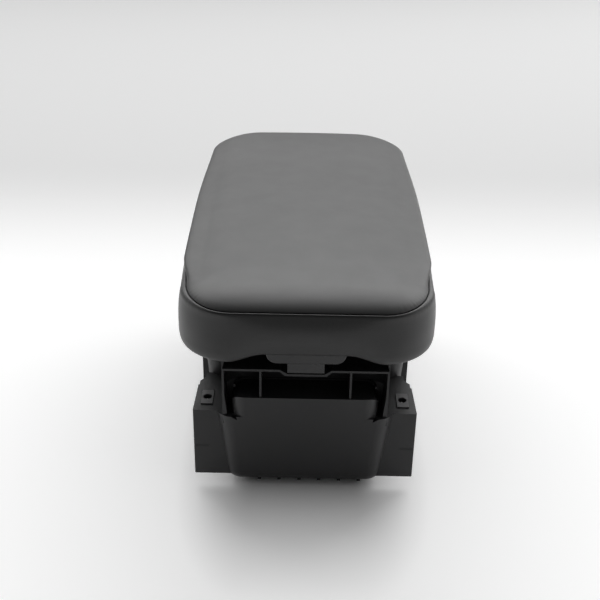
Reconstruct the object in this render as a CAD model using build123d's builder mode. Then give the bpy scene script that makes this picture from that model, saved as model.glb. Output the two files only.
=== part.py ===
from build123d import *
from math import radians, tan
import os

os.makedirs("parts", exist_ok=True)

# Lid: overall form, millimetres
LID_WIDTH = 180.0
LID_LENGTH = 348.0
LID_CORNER = 44.0
LID_BOTTOM = 114.5
LID_WIDEST = 20.5
LID_SEAM = 40.0
LID_CROWN = 48.5
SEAM_INSET = 4.6
TUCK_INSET = 10.0
CROWN_RADIUS = 1600.0
CROWN_ROLL = 5.8

# Lid: layers
COVER_SKIN = 1.6
HEM_WIDTH = 12.0
LAYER_GAP = 0.3
BASE_INSET = 12.6
BASE_TOP = 22.0
BASE_WALL = 3.0
BASE_RIB = 2.0
BASE_RIB_DEPTH = 9.0
BASE_RIB_X = (-36.0, 0.0, 36.0)
BASE_RIB_COUNT = 5
BASE_RIB_FIRST = 72.0
BASE_RIB_LAST = 58.0
LINER_INSET = 15.0
LINER_WALL = 2.4
LINER_DISH = 1.0
LINER_BORDER = 9.0
LEAST_CORNER = 6.0

# Arch in the lid's front lower edge, over the latch
ARCH_FOOT = 53.0
ARCH_HEAD = 28.0
ARCH_RISE = 6.5
ARCH_DEPTH = 24.0

# Storage bin: lower tub, with its sides and rear set in from the lid's
TUB_INSET = 27.3
TUB_CORNER = 12.0
TUB_RIM = 63.0
TUB_SETBACK = 16.4
TUB_REAR_INSET = 55.0
TUB_SIDE_DRAFT = 5.8
TUB_END_DRAFT = 4.5
TUB_TOE = 10.5
WALL = 2.4
RIB_HEIGHT = 2.0
RIB_WIDTH = 2.4
RIB_PITCH = 14.6
RIB_COUNT = 6
RIB_OFFSET = 4.1

# Storage bin: raised front and ribbed recess
TONGUE_MARGIN = 5.5
TONGUE_TOP = 80.2
TONGUE_CORNER = 10.0
ROOF_BEAD = 1.2
NOTCH_WIDTH = 4.0
NOTCH_DEPTH = 3.0
NOTCH_BACK = 20.4
RECESS_BACK = 40.0
RECESS_CORNER = 9.0
FRAME_INSET = 33.0
FRAME_WALL = 1.5
FRAME_FOOT = 1.9
FRAME_FOOT_RISE = 24.0
FRAME_FRONT = 19.0
RIM_FRONT = 16.0
RIM_TOP = 102.8
RIM_PLATE = 1.6
DIP_TOP_HALF = 17.8
DIP_FLOOR_HALF = 12.6
DIP_DEPTH = 3.3
STIFFENER_X = 31.0
STIFFENER_WALL = 1.4

# Storage bin: upper body and wings
BODY_INSET = 16.6
BODY_FLARE = 3.6
BODY_FRONT = 69.0
BODY_REAR_INSET = 45.0
BODY_CORNER = 15.0
BODY_TOP = 110.0
SIDE_RIB_COUNT = 4
SIDE_RIB_LAST = 42.6
SIDE_RIB_PROUD = 4.2
SIDE_RIB_FOOT = 46.0
WING_INSET = 10.8
WING_TAPER = 0.9
WING_CUT = 10.0
WING_FRONT = 24.0
WING_REAR = 67.0
WING_FOOT = 7.7
WING_BEAD = 32.7
BEAD_LENGTH = 12.0
BEAD_WIDTH = 1.6
BEAD_PROUD = 0.45
BOLT_INSET = 20.0
BOLT_SETBACK = 40.0
BOLT_RADIUS = 3.2
LUG_HALF = 25.0
LUG_LENGTH = 17.0
LUG_RADIUS = 8.0

# Hinge
HINGE_INSET = 27.0
HINGE_DROP = 15.5
HINGE_PIN_R = 3.0
BUSH_WALL = 1.0
EYE_WALL = 2.2
EAR_RADIUS = 8.0
EAR_WALL = 4.2
LEAF_INSET = 48.0
LEAF_WIDTH = 19.0
LEAF_PLATE = 2.0
LEAF_REACH = 22.0
SIDE_PLAY = 0.8
PIN_PLAY = 0.05
CLIP_WALL = 0.9
CLIP_BAND = 2.2
CLIP_GROOVE = 0.7
CLIP_MOUTH = 0.85
PIN_CHAMFER = 0.6

# Latch
LATCH_PIVOT_SETBACK = 24.0
LATCH_RISE = 11.7
LATCH_PIN_R = 1.5
BEZEL_HALF = 27.0
BEZEL_DROP = 1.8
BEZEL_SETBACK = 7.5
BEZEL_WALL = 2.5
BEZEL_CORNER = 7.5
PADDLE_HALF = 12.5
PADDLE_WALL = 2.2
PADDLE_SETBACK = 11.0
PADDLE_FOOT = 103.2
HOOK_HALF = 9.0
HOOK_DROP = 5.1
CHEEK_X = 18.8
CHEEK_WALL = 2.2
CHEEK_RADIUS = 5.0
BEZEL_EDGE = 1.2
BEZEL_DEPTH = 29.0
PADDLE_BOSS = 4.2
HOOK_WALL = 3.0
HOOK_REACH = 5.2
HOOK_LAND = 1.8
HOOK_PLAY = 0.8
HOOK_SWING = 4.6
SPRING_WIRE = 0.45
SPRING_COILS = 4.0
SPRING_PLAY = 0.4

# Fasteners and small pieces
SCREW_R = 1.6
SCREW_HEAD_R = 3.2
SCREW_HEAD = 1.9
SCREW_GRIP = 9.0
LINER_SCREW_INSET = 30.0
LINER_SCREW_FIRST = 58.0
LINER_SCREW_LAST = 67.0
BEZEL_SCREW_OUT = 6.4
BEZEL_SCREW_BACK = 3.0
LEAF_SCREW_HALF = 4.8
LEAF_SCREW_IN = 6.5
BUFFER_R = 4.5
BUFFER_STEM_R = 2.2
BUFFER_MARGIN = 7.4
BUFFER_SETBACK = 86.0
BUFFER_STEM = 6.0
BUFFER_POST = 106.0
NUT_WIDTH = 8.4
NUT_LENGTH = 15.6
NUT_SHEET = 0.9

# Derived positions
sides = (-1, 1)
front = -LID_LENGTH / 2
seam_z = LID_BOTTOM + LID_SEAM
crown_z = LID_BOTTOM + LID_CROWN
base_bottom = LID_BOTTOM + COVER_SKIN + LAYER_GAP
base_top = LID_BOTTOM + BASE_TOP
liner_bottom = LID_BOTTOM - LINER_WALL
hinge_y = -front - HINGE_INSET
hinge_z = LID_BOTTOM - HINGE_DROP
half_width = LID_WIDTH / 2
tub_width = LID_WIDTH - 2 * TUB_INSET
tub_back = LID_LENGTH - TUB_REAR_INSET
frame_half = half_width - FRAME_INSET
tongue_width = 2 * (frame_half - TONGUE_MARGIN)
body_half = half_width - BODY_INSET
body_back = LID_LENGTH - BODY_REAR_INSET
wing_half = half_width - WING_INSET
bolt_half = half_width - BOLT_INSET
buffer_x = body_half - BUFFER_MARGIN
leaf_x = half_width - LEAF_INSET
liner_screw_x = half_width - LINER_SCREW_INSET
liner_screw_last = LID_LENGTH - LINER_SCREW_LAST
liner_screw_setbacks = (LINER_SCREW_FIRST, (LINER_SCREW_FIRST + liner_screw_last) / 2, liner_screw_last)
base_rib_step = (LID_LENGTH - BASE_RIB_LAST - BASE_RIB_FIRST) / (BASE_RIB_COUNT - 1)
base_rib_setbacks = [BASE_RIB_FIRST + index * base_rib_step for index in range(BASE_RIB_COUNT)]
side_rib_first = BODY_FRONT + BODY_CORNER + WALL
side_rib_step = (body_back - SIDE_RIB_LAST - side_rib_first) / (SIDE_RIB_COUNT - 1)
neck_width = tub_width - 3 * WALL
latch_y = front + LATCH_PIVOT_SETBACK
latch_z = RIM_TOP + LATCH_RISE
bezel_top = LID_BOTTOM + ARCH_RISE + BEZEL_WALL
bush_r = HINGE_PIN_R + BUSH_WALL
eye_r = bush_r + EYE_WALL
ear_inner = leaf_x - LEAF_WIDTH / 2 - SIDE_PLAY - EAR_WALL
ear_outer = leaf_x + LEAF_WIDTH / 2 + SIDE_PLAY
pin_half = ear_outer + EAR_WALL + 2 * CLIP_WALL + 1.2
clip_x = ear_outer + EAR_WALL + SIDE_PLAY / 4 + CLIP_WALL / 2
clip_groove_r = HINGE_PIN_R - CLIP_GROOVE
hook_shoulder = RIM_TOP - DIP_DEPTH - RIM_PLATE - HOOK_LAND
hook_foot = hook_shoulder - HOOK_DROP
spring_pitch = (CHEEK_X - PADDLE_HALF - 4 * SPRING_WIRE) / SPRING_COILS
spring_start = PADDLE_HALF + 2 * SPRING_WIRE
shelf_bottom = TUB_RIM - WALL
floor_top = RIB_HEIGHT + WALL
liner_rear = hinge_y - LEAF_REACH - 2 * SIDE_PLAY
pocket_rear = front + BEZEL_SETBACK + BEZEL_DEPTH + BASE_WALL


def lid_outline(inset):
    """Plan of the lid, drawn in from its widest line."""
    RectangleRounded(LID_WIDTH - 2 * inset, LID_LENGTH - 2 * inset, max(LID_CORNER - inset, LEAST_CORNER))


def lid_form(skin):
    """Cushion form of the lid: bulged band up to the seam, then the crowned top panel."""
    band = (
        (LID_BOTTOM + skin, TUCK_INSET),
        (LID_BOTTOM + LID_WIDEST * 0.09 + skin / 2, TUCK_INSET * 0.52),
        (LID_BOTTOM + LID_WIDEST * 0.4, TUCK_INSET * 0.13),
        (LID_BOTTOM + LID_WIDEST, 0.0),
        (LID_BOTTOM + (LID_WIDEST + LID_SEAM) / 2, SEAM_INSET * 0.3),
        (seam_z - skin / 2, SEAM_INSET),
    )
    with BuildPart() as form:
        for height, inset in band:
            with BuildSketch(Plane.XY.offset(height)):
                lid_outline(inset + skin)
        loft()
        with BuildSketch(Plane.XY.offset(seam_z - skin / 2)):
            lid_outline(SEAM_INSET + skin)
        extrude(amount=LID_CROWN - LID_SEAM - skin / 2)
        with BuildSketch(Plane.XZ):
            with Locations((0, crown_z - skin - CROWN_RADIUS)):
                Circle(CROWN_RADIUS)
        extrude(amount=LID_LENGTH, both=True, mode=Mode.INTERSECT)
        fillet(form.faces().sort_by(Axis.Z)[-1].edges(), CROWN_ROLL - skin)
    return form.part


def front_arch(margin):
    """Arched cut through the lid's front lower edge."""
    top = LID_BOTTOM + ARCH_RISE + margin
    foot = LID_BOTTOM - LINER_WALL
    with BuildPart() as arch:
        with BuildSketch(Plane.XZ.offset(-front - ARCH_DEPTH)):
            with BuildLine():
                Line((-ARCH_FOOT - margin, foot), (ARCH_FOOT + margin, foot))
                Line((ARCH_FOOT + margin, foot), (ARCH_FOOT + margin, LID_BOTTOM))
                Spline(
                    (ARCH_FOOT + margin, LID_BOTTOM),
                    (ARCH_HEAD + margin, top),
                    tangents=((-1, 0), (-1, 0)),
                )
                Line((ARCH_HEAD + margin, top), (-ARCH_HEAD - margin, top))
                Spline(
                    (-ARCH_HEAD - margin, top),
                    (-ARCH_FOOT - margin, LID_BOTTOM),
                    tangents=((-1, 0), (-1, 0)),
                )
                Line((-ARCH_FOOT - margin, LID_BOTTOM), (-ARCH_FOOT - margin, foot))
            make_face()
        extrude(amount=2 * ARCH_DEPTH)
    return arch.part


def screw_at(points, seat):
    """Pan-head screws driven upwards, with their heads under the seat height."""
    with BuildPart() as screws:
        with BuildSketch(Plane.XY.offset(seat)):
            with Locations(*points):
                Circle(SCREW_R)
        extrude(amount=SCREW_GRIP)
        with BuildSketch(Plane.XY.offset(seat)):
            with Locations(*points):
                Circle(SCREW_HEAD_R)
        extrude(amount=-SCREW_HEAD)
        chamfer(screws.edges().group_by(Axis.Z)[0], SCREW_HEAD / 3)
        with BuildSketch(Plane.XY.offset(seat - SCREW_HEAD)):
            with Locations(*points):
                Rectangle(SCREW_HEAD_R, SCREW_R / 2)
                Rectangle(SCREW_R / 2, SCREW_HEAD_R)
        extrude(amount=SCREW_HEAD / 2, mode=Mode.SUBTRACT)
    return screws.part


def tub_front(height):
    """Front face of the tub at a height: the moulding draft leans it outwards going up."""
    return front + TUB_SETBACK - (height - TUB_RIM) * tan(radians(TUB_END_DRAFT))


def tub_rear(height):
    """Rear face of the tub at a height, with the same draft as the front."""
    return front + tub_back + (height - TUB_RIM) * tan(radians(TUB_END_DRAFT))


def tub_outline(height, wall):
    """Plan of the tub at a height, drawn in by a wall thickness."""
    half = tub_width / 2 + (height - TUB_RIM) * tan(radians(TUB_SIDE_DRAFT)) - wall
    near = tub_front(height) + wall
    far = tub_rear(height) - wall
    with Locations((0, (near + far) / 2)):
        RectangleRounded(2 * half, far - near, TUB_CORNER - wall)


def body_outline(height, wall):
    """Plan of the upper body at a height, drawn in by a wall thickness."""
    half = body_half + BODY_FLARE * (height - TUB_RIM) / (BODY_TOP - TUB_RIM) - wall
    with Locations((0, front + (BODY_FRONT + body_back) / 2)):
        RectangleRounded(2 * half, body_back - BODY_FRONT - 2 * wall, BODY_CORNER - wall)


def tongue_outline(height, wall):
    """Plan of the tub's raised front at a height, drawn in by a wall thickness."""
    near = tub_front(height) + wall
    far = front + RECESS_BACK + 2 * WALL
    with Locations((0, (near + far) / 2)):
        RectangleRounded(tongue_width - 2 * wall, far - near, TONGUE_CORNER - wall)


# Right edge of the wing shelf from its front to its rear
wing_edge = [
    (wing_half, front + WING_FRONT),
    (wing_half - WING_TAPER, front + WING_REAR - WING_CUT),
    (wing_half - 2 * WING_TAPER, front + WING_REAR - WING_CUT),
    (wing_half - 2 * WING_TAPER, front + WING_REAR - WING_CUT / 2),
    (body_half, front + WING_REAR),
]

# Screw and hole places, shared by the pieces that meet there
liner_points = [(side * liner_screw_x, front + y) for side in sides for y in liner_screw_setbacks]
bezel_points = [(side * (CHEEK_X + BEZEL_SCREW_OUT), latch_y + BEZEL_SCREW_BACK) for side in sides]
leaf_points = [
    (side * leaf_x + shift * LEAF_SCREW_HALF, hinge_y - LEAF_REACH + LEAF_SCREW_IN)
    for side in sides
    for shift in sides
]
bolt_points = [(side * bolt_half, front + BOLT_SETBACK) for side in sides]
lug_points = [(side * LUG_HALF, front + body_back + LUG_LENGTH / 2) for side in sides]
buffer_points = [(side * buffer_x, front + BUFFER_SETBACK) for side in sides]
rib_front = tub_front(RIB_HEIGHT) + TUB_TOE * 0.6
rib_rear = tub_rear(RIB_HEIGHT) - TUB_TOE * 0.6

outer_form = lid_form(0.0)
inner_form = lid_form(COVER_SKIN)
foam_form = lid_form(COVER_SKIN + LAYER_GAP)

# Leather cover: sewn skin with a hem turned under the base
with BuildPart() as leather_cover:
    add(outer_form)
    add(inner_form, mode=Mode.SUBTRACT)
    with BuildSketch(Plane.XY.offset(LID_BOTTOM - COVER_SKIN)):
        lid_outline(TUCK_INSET + HEM_WIDTH)
    extrude(amount=4 * COVER_SKIN, mode=Mode.SUBTRACT)
    add(front_arch(0.0), mode=Mode.SUBTRACT)
leather_cover.part.label = "leather_cover"
export_step(leather_cover.part, "parts/leather_cover.step")

# Foam pad: cap over the base, thick on top and round the band
with BuildPart() as foam_pad:
    add(foam_form)
    with BuildSketch(Plane.XY.offset(LID_BOTTOM)):
        lid_outline(BASE_INSET - LAYER_GAP)
    extrude(amount=BASE_TOP + LAYER_GAP, mode=Mode.SUBTRACT)
    add(front_arch(BEZEL_WALL + LAYER_GAP), mode=Mode.SUBTRACT)
foam_pad.part.label = "foam_pad"
export_step(foam_pad.part, "parts/foam_pad.step")

# Lid base: moulded tray with ribs, screw bosses, hinge pads and the latch pocket
with BuildPart() as lid_base:
    with BuildSketch(Plane.XY.offset(base_bottom)):
        lid_outline(BASE_INSET)
    extrude(amount=base_top - base_bottom)
    fillet(lid_base.edges().group_by(Axis.Z)[-1], BASE_WALL)
    with BuildSketch(Plane.XY.offset(base_bottom)):
        lid_outline(BASE_INSET + BASE_WALL)
    extrude(amount=base_top - base_bottom - BASE_WALL, mode=Mode.SUBTRACT)
    with BuildSketch(Plane.XY.offset(base_top - BASE_WALL)):
        for x in BASE_RIB_X:
            with Locations((x, 0)):
                Rectangle(BASE_RIB, LID_LENGTH - 2 * BASE_INSET - BASE_WALL)
        for setback in base_rib_setbacks:
            with Locations((0, front + setback)):
                Rectangle(LID_WIDTH - 2 * BASE_INSET - BASE_WALL, BASE_RIB)
    extrude(amount=-BASE_RIB_DEPTH)
    with BuildSketch(Plane.XY.offset(LID_BOTTOM)):
        with Locations(*liner_points):
            Circle(SCREW_HEAD_R + BASE_WALL / 2)
    extrude(amount=BASE_TOP - BASE_WALL / 2)
    with BuildSketch(Plane.XY.offset(base_bottom)):
        for side in sides:
            with Locations((side * leaf_x, hinge_y - LEAF_REACH / 2)):
                Rectangle(LEAF_WIDTH, LEAF_REACH + 2 * BASE_WALL)
    extrude(amount=BASE_TOP - BASE_WALL)
    with BuildSketch(Plane.XY.offset(bezel_top)):
        with Locations((0, pocket_rear)):
            Rectangle(
                2 * (BEZEL_HALF + BASE_WALL),
                pocket_rear - front - BASE_INSET - BASE_WALL / 2,
                align=(Align.CENTER, Align.MAX),
            )
    extrude(amount=base_top - bezel_top - BASE_WALL / 2)
    with BuildSketch(Plane.XY.offset(LID_BOTTOM)):
        with Locations((0, front)):
            Rectangle(2 * (BEZEL_HALF + LAYER_GAP), 2 * (pocket_rear - front))
    extrude(amount=bezel_top - LID_BOTTOM, mode=Mode.SUBTRACT)
    add(front_arch(COVER_SKIN), mode=Mode.SUBTRACT)
    with BuildSketch(Plane.XY.offset(LID_BOTTOM)):
        with Locations(*liner_points, *bezel_points, *leaf_points):
            Circle(SCREW_R)
    extrude(amount=BASE_TOP - 2 * BASE_WALL, mode=Mode.SUBTRACT)
lid_base.part.label = "lid_base"
export_step(lid_base.part, "parts/lid_base.step")

# Lid liner: dished underside panel, notched for the latch and kept behind the arch
with BuildPart() as lid_liner:
    with BuildSketch(Plane.XY.offset(liner_bottom)):
        lid_outline(LINER_INSET)
        with Locations((0, liner_rear)):
            Rectangle(LID_WIDTH, LID_LENGTH, align=(Align.CENTER, Align.MIN), mode=Mode.SUBTRACT)
        with Locations((0, front)):
            Rectangle(2 * (BEZEL_HALF + BASE_WALL), 2 * (pocket_rear - front), mode=Mode.SUBTRACT)
            Rectangle(2 * (ARCH_FOOT + BASE_WALL), 2 * ARCH_DEPTH, mode=Mode.SUBTRACT)
    extrude(amount=LINER_WALL)
    with BuildSketch(Plane.XY.offset(liner_bottom)):
        with Locations((0, (pocket_rear + liner_rear) / 2)):
            RectangleRounded(
                2 * (liner_screw_x - LINER_BORDER),
                liner_rear - pocket_rear - 2 * LINER_BORDER,
                LINER_BORDER,
            )
    extrude(amount=LINER_DISH, mode=Mode.SUBTRACT)
    with BuildSketch(Plane.XY.offset(liner_bottom)):
        with Locations(*liner_points):
            Circle(SCREW_R + LAYER_GAP / 2)
    extrude(amount=LINER_WALL, mode=Mode.SUBTRACT)
lid_liner.part.label = "lid_liner"
export_step(lid_liner.part, "parts/lid_liner.step")

# Space inside the tub, rounded at its foot like the outside
with BuildPart() as tub_inside:
    with BuildSketch(Plane.XY.offset(floor_top)):
        tub_outline(floor_top, WALL)
    with BuildSketch(Plane.XY.offset(TUB_RIM - 2 * WALL)):
        tub_outline(TUB_RIM - 2 * WALL, WALL)
    loft()
    fillet(tub_inside.edges().group_by(Axis.Z)[0], TUB_TOE - WALL)

# Storage bin: one moulding
with BuildPart() as storage_bin:
    with BuildSketch(Plane.XY.offset(RIB_HEIGHT)):
        tub_outline(RIB_HEIGHT, 0.0)
    with BuildSketch(Plane.XY.offset(TUB_RIM)):
        tub_outline(TUB_RIM, 0.0)
    loft()
    fillet(storage_bin.edges().group_by(Axis.Z)[0], TUB_TOE)

    # Upper body with its rounded front corners
    with BuildSketch(Plane.XY.offset(shelf_bottom - WALL)):
        body_outline(shelf_bottom - WALL, 0.0)
    with BuildSketch(Plane.XY.offset(BODY_TOP)):
        body_outline(BODY_TOP, 0.0)
    loft()

    # Front frame: block from which the recess is cut
    with BuildSketch(Plane.XY.offset(shelf_bottom - 2 * WALL)):
        with Locations((0, front + FRAME_FRONT)):
            Rectangle(
                2 * frame_half + FRAME_WALL,
                BODY_FRONT + WALL - FRAME_FRONT,
                align=(Align.CENTER, Align.MIN),
            )
    extrude(amount=BODY_TOP - shelf_bottom + 2 * WALL)
    with BuildSketch(Plane.XY.offset(TUB_RIM)):
        with Locations((0, front)):
            RectangleRounded(2 * frame_half - FRAME_WALL, 2 * RECESS_BACK, RECESS_CORNER)
    extrude(amount=BODY_TOP - TUB_RIM + WALL, mode=Mode.SUBTRACT)

    # Raised front of the tub
    with BuildSketch(Plane.XY.offset(TUB_RIM - 4 * WALL)):
        tongue_outline(TUB_RIM - 4 * WALL, 0.0)
    with BuildSketch(Plane.XY.offset(TONGUE_TOP)):
        tongue_outline(TONGUE_TOP, 0.0)
    loft()
    with BuildSketch(Plane.XZ.offset(-front - RECESS_BACK)):
        with Locations((0, TONGUE_TOP)):
            Rectangle(2 * frame_half - FRAME_WALL, 2 * (TONGUE_TOP - TUB_RIM))
        with Locations((0, TUB_RIM)):
            RectangleRounded(
                tongue_width,
                2 * (TONGUE_TOP - TUB_RIM),
                TONGUE_CORNER * 0.8,
                mode=Mode.SUBTRACT,
            )
        with Locations((0, TONGUE_TOP)):
            Rectangle(
                2 * frame_half,
                2 * TONGUE_TOP,
                align=(Align.CENTER, Align.MIN),
                mode=Mode.SUBTRACT,
            )
    extrude(amount=RECESS_BACK, mode=Mode.SUBTRACT)

    # Bead round the back of its roof, thickened feet of the frame and relief notches beside them
    with BuildSketch(Plane.XY.offset(TONGUE_TOP - WALL / 2)):
        with Locations((0, front + RECESS_BACK + LAYER_GAP)):
            RectangleRounded(
                tongue_width - 2 * ROOF_BEAD,
                3 * TONGUE_CORNER,
                TONGUE_CORNER - ROOF_BEAD,
                align=(Align.CENTER, Align.MAX),
            )
        with Locations((0, front + RECESS_BACK + LAYER_GAP - ROOF_BEAD)):
            RectangleRounded(
                tongue_width - 4 * ROOF_BEAD,
                3 * TONGUE_CORNER,
                TONGUE_CORNER - 2 * ROOF_BEAD,
                align=(Align.CENTER, Align.MAX),
                mode=Mode.SUBTRACT,
            )
        with Locations((0, front + RECESS_BACK - TONGUE_CORNER)):
            Rectangle(
                tongue_width,
                3 * TONGUE_CORNER,
                align=(Align.CENTER, Align.MAX),
                mode=Mode.SUBTRACT,
            )
    extrude(amount=WALL / 2 + ROOF_BEAD)
    for side in sides:
        with BuildSketch(Plane.XZ.offset(-front - RECESS_BACK)):
            Polygon(
                (side * frame_half, TUB_RIM - WALL / 2),
                (side * (frame_half - FRAME_WALL / 2 - FRAME_FOOT), TUB_RIM - WALL / 2),
                (side * frame_half, TUB_RIM + FRAME_FOOT_RISE),
                align=None,
            )
        extrude(amount=RECESS_BACK - FRAME_FRONT)
        with BuildSketch(Plane.XZ.offset(-front)):
            Polygon(
                (side * (tongue_width / 2 + LAYER_GAP), TUB_RIM + NOTCH_DEPTH),
                (side * (tongue_width / 2 + LAYER_GAP), TUB_RIM),
                (side * (tongue_width / 2 - NOTCH_WIDTH), TUB_RIM - NOTCH_DEPTH),
                (side * (tongue_width / 2 - NOTCH_WIDTH * 0.8), TUB_RIM + NOTCH_DEPTH),
                align=None,
            )
        extrude(amount=-NOTCH_BACK, mode=Mode.SUBTRACT)

    # Front rim plate over the recess, with the latch dip, and its two stiffeners
    with BuildSketch(Plane.XY.offset(RIM_TOP)):
        with Locations((0, front + RIM_FRONT)):
            Rectangle(
                2 * frame_half,
                RECESS_BACK + WALL - RIM_FRONT,
                align=(Align.CENTER, Align.MIN),
            )
    extrude(amount=-RIM_PLATE)
    with BuildSketch(Plane.XZ.offset(-front - RIM_FRONT)):
        Polygon(
            (-DIP_TOP_HALF - RIM_PLATE, RIM_TOP),
            (-DIP_FLOOR_HALF - RIM_PLATE, RIM_TOP - DIP_DEPTH - RIM_PLATE),
            (DIP_FLOOR_HALF + RIM_PLATE, RIM_TOP - DIP_DEPTH - RIM_PLATE),
            (DIP_TOP_HALF + RIM_PLATE, RIM_TOP),
            align=None,
        )
    extrude(amount=-(RECESS_BACK - RIM_FRONT + WALL / 2))
    with BuildSketch(Plane.XZ.offset(-front - RIM_FRONT + WALL)):
        Polygon(
            (-DIP_TOP_HALF, RIM_TOP),
            (-DIP_FLOOR_HALF, RIM_TOP - DIP_DEPTH),
            (DIP_FLOOR_HALF, RIM_TOP - DIP_DEPTH),
            (DIP_TOP_HALF, RIM_TOP),
            align=None,
        )
    extrude(amount=-(RECESS_BACK - RIM_FRONT + WALL / 2), mode=Mode.SUBTRACT)
    with BuildSketch(Plane.XY.offset(TONGUE_TOP - WALL / 2)):
        for side in sides:
            with Locations((side * STIFFENER_X, front + RIM_FRONT)):
                Rectangle(
                    STIFFENER_WALL,
                    RECESS_BACK + WALL / 2 - RIM_FRONT,
                    align=(Align.CENTER, Align.MIN),
                )
    extrude(amount=RIM_TOP - TONGUE_TOP)

    # Wings: shelf, front plate with a bead, and a side web that runs out to the rear
    with BuildSketch(Plane.XY.offset(shelf_bottom)):
        with BuildLine():
            Polyline(*wing_edge, *[(-x, y) for x, y in reversed(wing_edge)], close=True)
        make_face()
        with Locations((0, front + BODY_FRONT)):
            Rectangle(2 * body_half, 2 * (BODY_FRONT - WING_REAR) + 2 * WALL)
    extrude(amount=WALL)
    with BuildSketch(Plane.XZ.offset(-front - WING_FRONT)):
        with Locations((0, WING_FOOT)):
            Rectangle(2 * wing_half, TUB_RIM - WING_FOOT, align=(Align.CENTER, Align.MIN))
    extrude(amount=-WALL)
    fillet(storage_bin.edges().filter_by(Axis.Z).group_by(Axis.X)[0], WALL / 3)
    fillet(storage_bin.edges().filter_by(Axis.Z).group_by(Axis.X)[-1], WALL / 3)
    for side in sides:
        with BuildSketch(Plane.YZ.offset(side * (wing_half - BEAD_LENGTH / 2))):
            Polygon(
                (front + WING_FRONT, WING_BEAD + BEAD_WIDTH / 2),
                (front + WING_FRONT - BEAD_PROUD, WING_BEAD - BEAD_WIDTH / 2),
                (front + WING_FRONT + WALL / 2, WING_BEAD - BEAD_WIDTH / 2),
                align=None,
            )
        extrude(amount=BEAD_LENGTH / 2 - WALL / 2, both=True)
        with BuildSketch(Plane.YZ.offset(side * (wing_half - WALL * 1.5))):
            Polygon(
                (front + WING_FRONT + WALL / 2, TUB_RIM - WALL / 2),
                (front + WING_FRONT + WALL / 2, WING_FOOT + 4 * WALL),
                (front + WING_REAR - 2 * WALL, TUB_RIM - 3 * WALL),
                (front + WING_REAR - 2 * WALL, TUB_RIM - WALL / 2),
                align=None,
            )
        extrude(amount=WALL / 2, both=True)

    # Upright ribs down the sides of the upper body, with gussets under it to the tub
    with BuildSketch(Plane.XY.offset(SIDE_RIB_FOOT)):
        for step in range(SIDE_RIB_COUNT):
            with Locations((0, front + side_rib_first + step * side_rib_step)):
                Rectangle(2 * (body_half + SIDE_RIB_PROUD), WALL * 0.8)
    extrude(amount=BODY_TOP - WALL - SIDE_RIB_FOOT)

    # Hinge ears on the rear wall, and the two rear fixing lugs
    for side in sides:
        for place in (ear_inner, ear_outer):
            with BuildSketch(Plane.YZ.offset(side * (place + EAR_WALL / 2))):
                with BuildLine():
                    Polyline(
                        (front + body_back - WALL / 2, hinge_z + EAR_RADIUS * 0.6),
                        (front + body_back - WALL / 2, hinge_z - 4 * EAR_RADIUS),
                        (hinge_y + EAR_RADIUS * 0.6, hinge_z - EAR_RADIUS * 0.8),
                        (hinge_y, hinge_z + EAR_RADIUS * 0.6),
                        close=True,
                    )
                make_face()
                with Locations((hinge_y, hinge_z)):
                    Circle(EAR_RADIUS)
                    Circle(HINGE_PIN_R + PIN_PLAY / 2, mode=Mode.SUBTRACT)
            extrude(amount=EAR_WALL / 2, both=True)
    with BuildSketch(Plane.XY.offset(shelf_bottom - WALL)):
        with Locations(*lug_points):
            Circle(LUG_RADIUS)
            with Locations((0, -LUG_LENGTH / 2)):
                Rectangle(2 * LUG_RADIUS, LUG_LENGTH)
    extrude(amount=2 * WALL)

    # Insides: tub, raised front, front frame and upper body
    add(tub_inside.part, mode=Mode.SUBTRACT)
    with BuildSketch(Plane.XY.offset(TUB_RIM - 5 * WALL)):
        tongue_outline(TUB_RIM - 5 * WALL, WALL)
    with BuildSketch(Plane.XY.offset(TONGUE_TOP - WALL)):
        tongue_outline(TONGUE_TOP - WALL, WALL)
    loft(mode=Mode.SUBTRACT)
    with BuildSketch(Plane.XY.offset(TUB_RIM - 3 * WALL)):
        with Locations((0, front + RECESS_BACK + WALL)):
            Rectangle(
                2 * frame_half - FRAME_WALL,
                BODY_FRONT - RECESS_BACK + WALL,
                align=(Align.CENTER, Align.MIN),
            )
    extrude(amount=BODY_TOP, mode=Mode.SUBTRACT)
    with BuildSketch(Plane.XY.offset(TUB_RIM - 3 * WALL)):
        with Locations((0, front + (BODY_FRONT + tub_back) / 2)):
            RectangleRounded(neck_width, tub_back - BODY_FRONT - 3 * WALL, TUB_CORNER - WALL)
        with Locations((0, front + BODY_FRONT + 1.5 * WALL)):
            Rectangle(neck_width, TUB_CORNER, align=(Align.CENTER, Align.MIN))
    extrude(amount=4 * WALL, mode=Mode.SUBTRACT)
    with BuildSketch(Plane.XY.offset(TUB_RIM)):
        body_outline(TUB_RIM, WALL)
    with BuildSketch(Plane.XY.offset(BODY_TOP + WALL)):
        body_outline(BODY_TOP + WALL, WALL)
    loft(mode=Mode.SUBTRACT)

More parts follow.
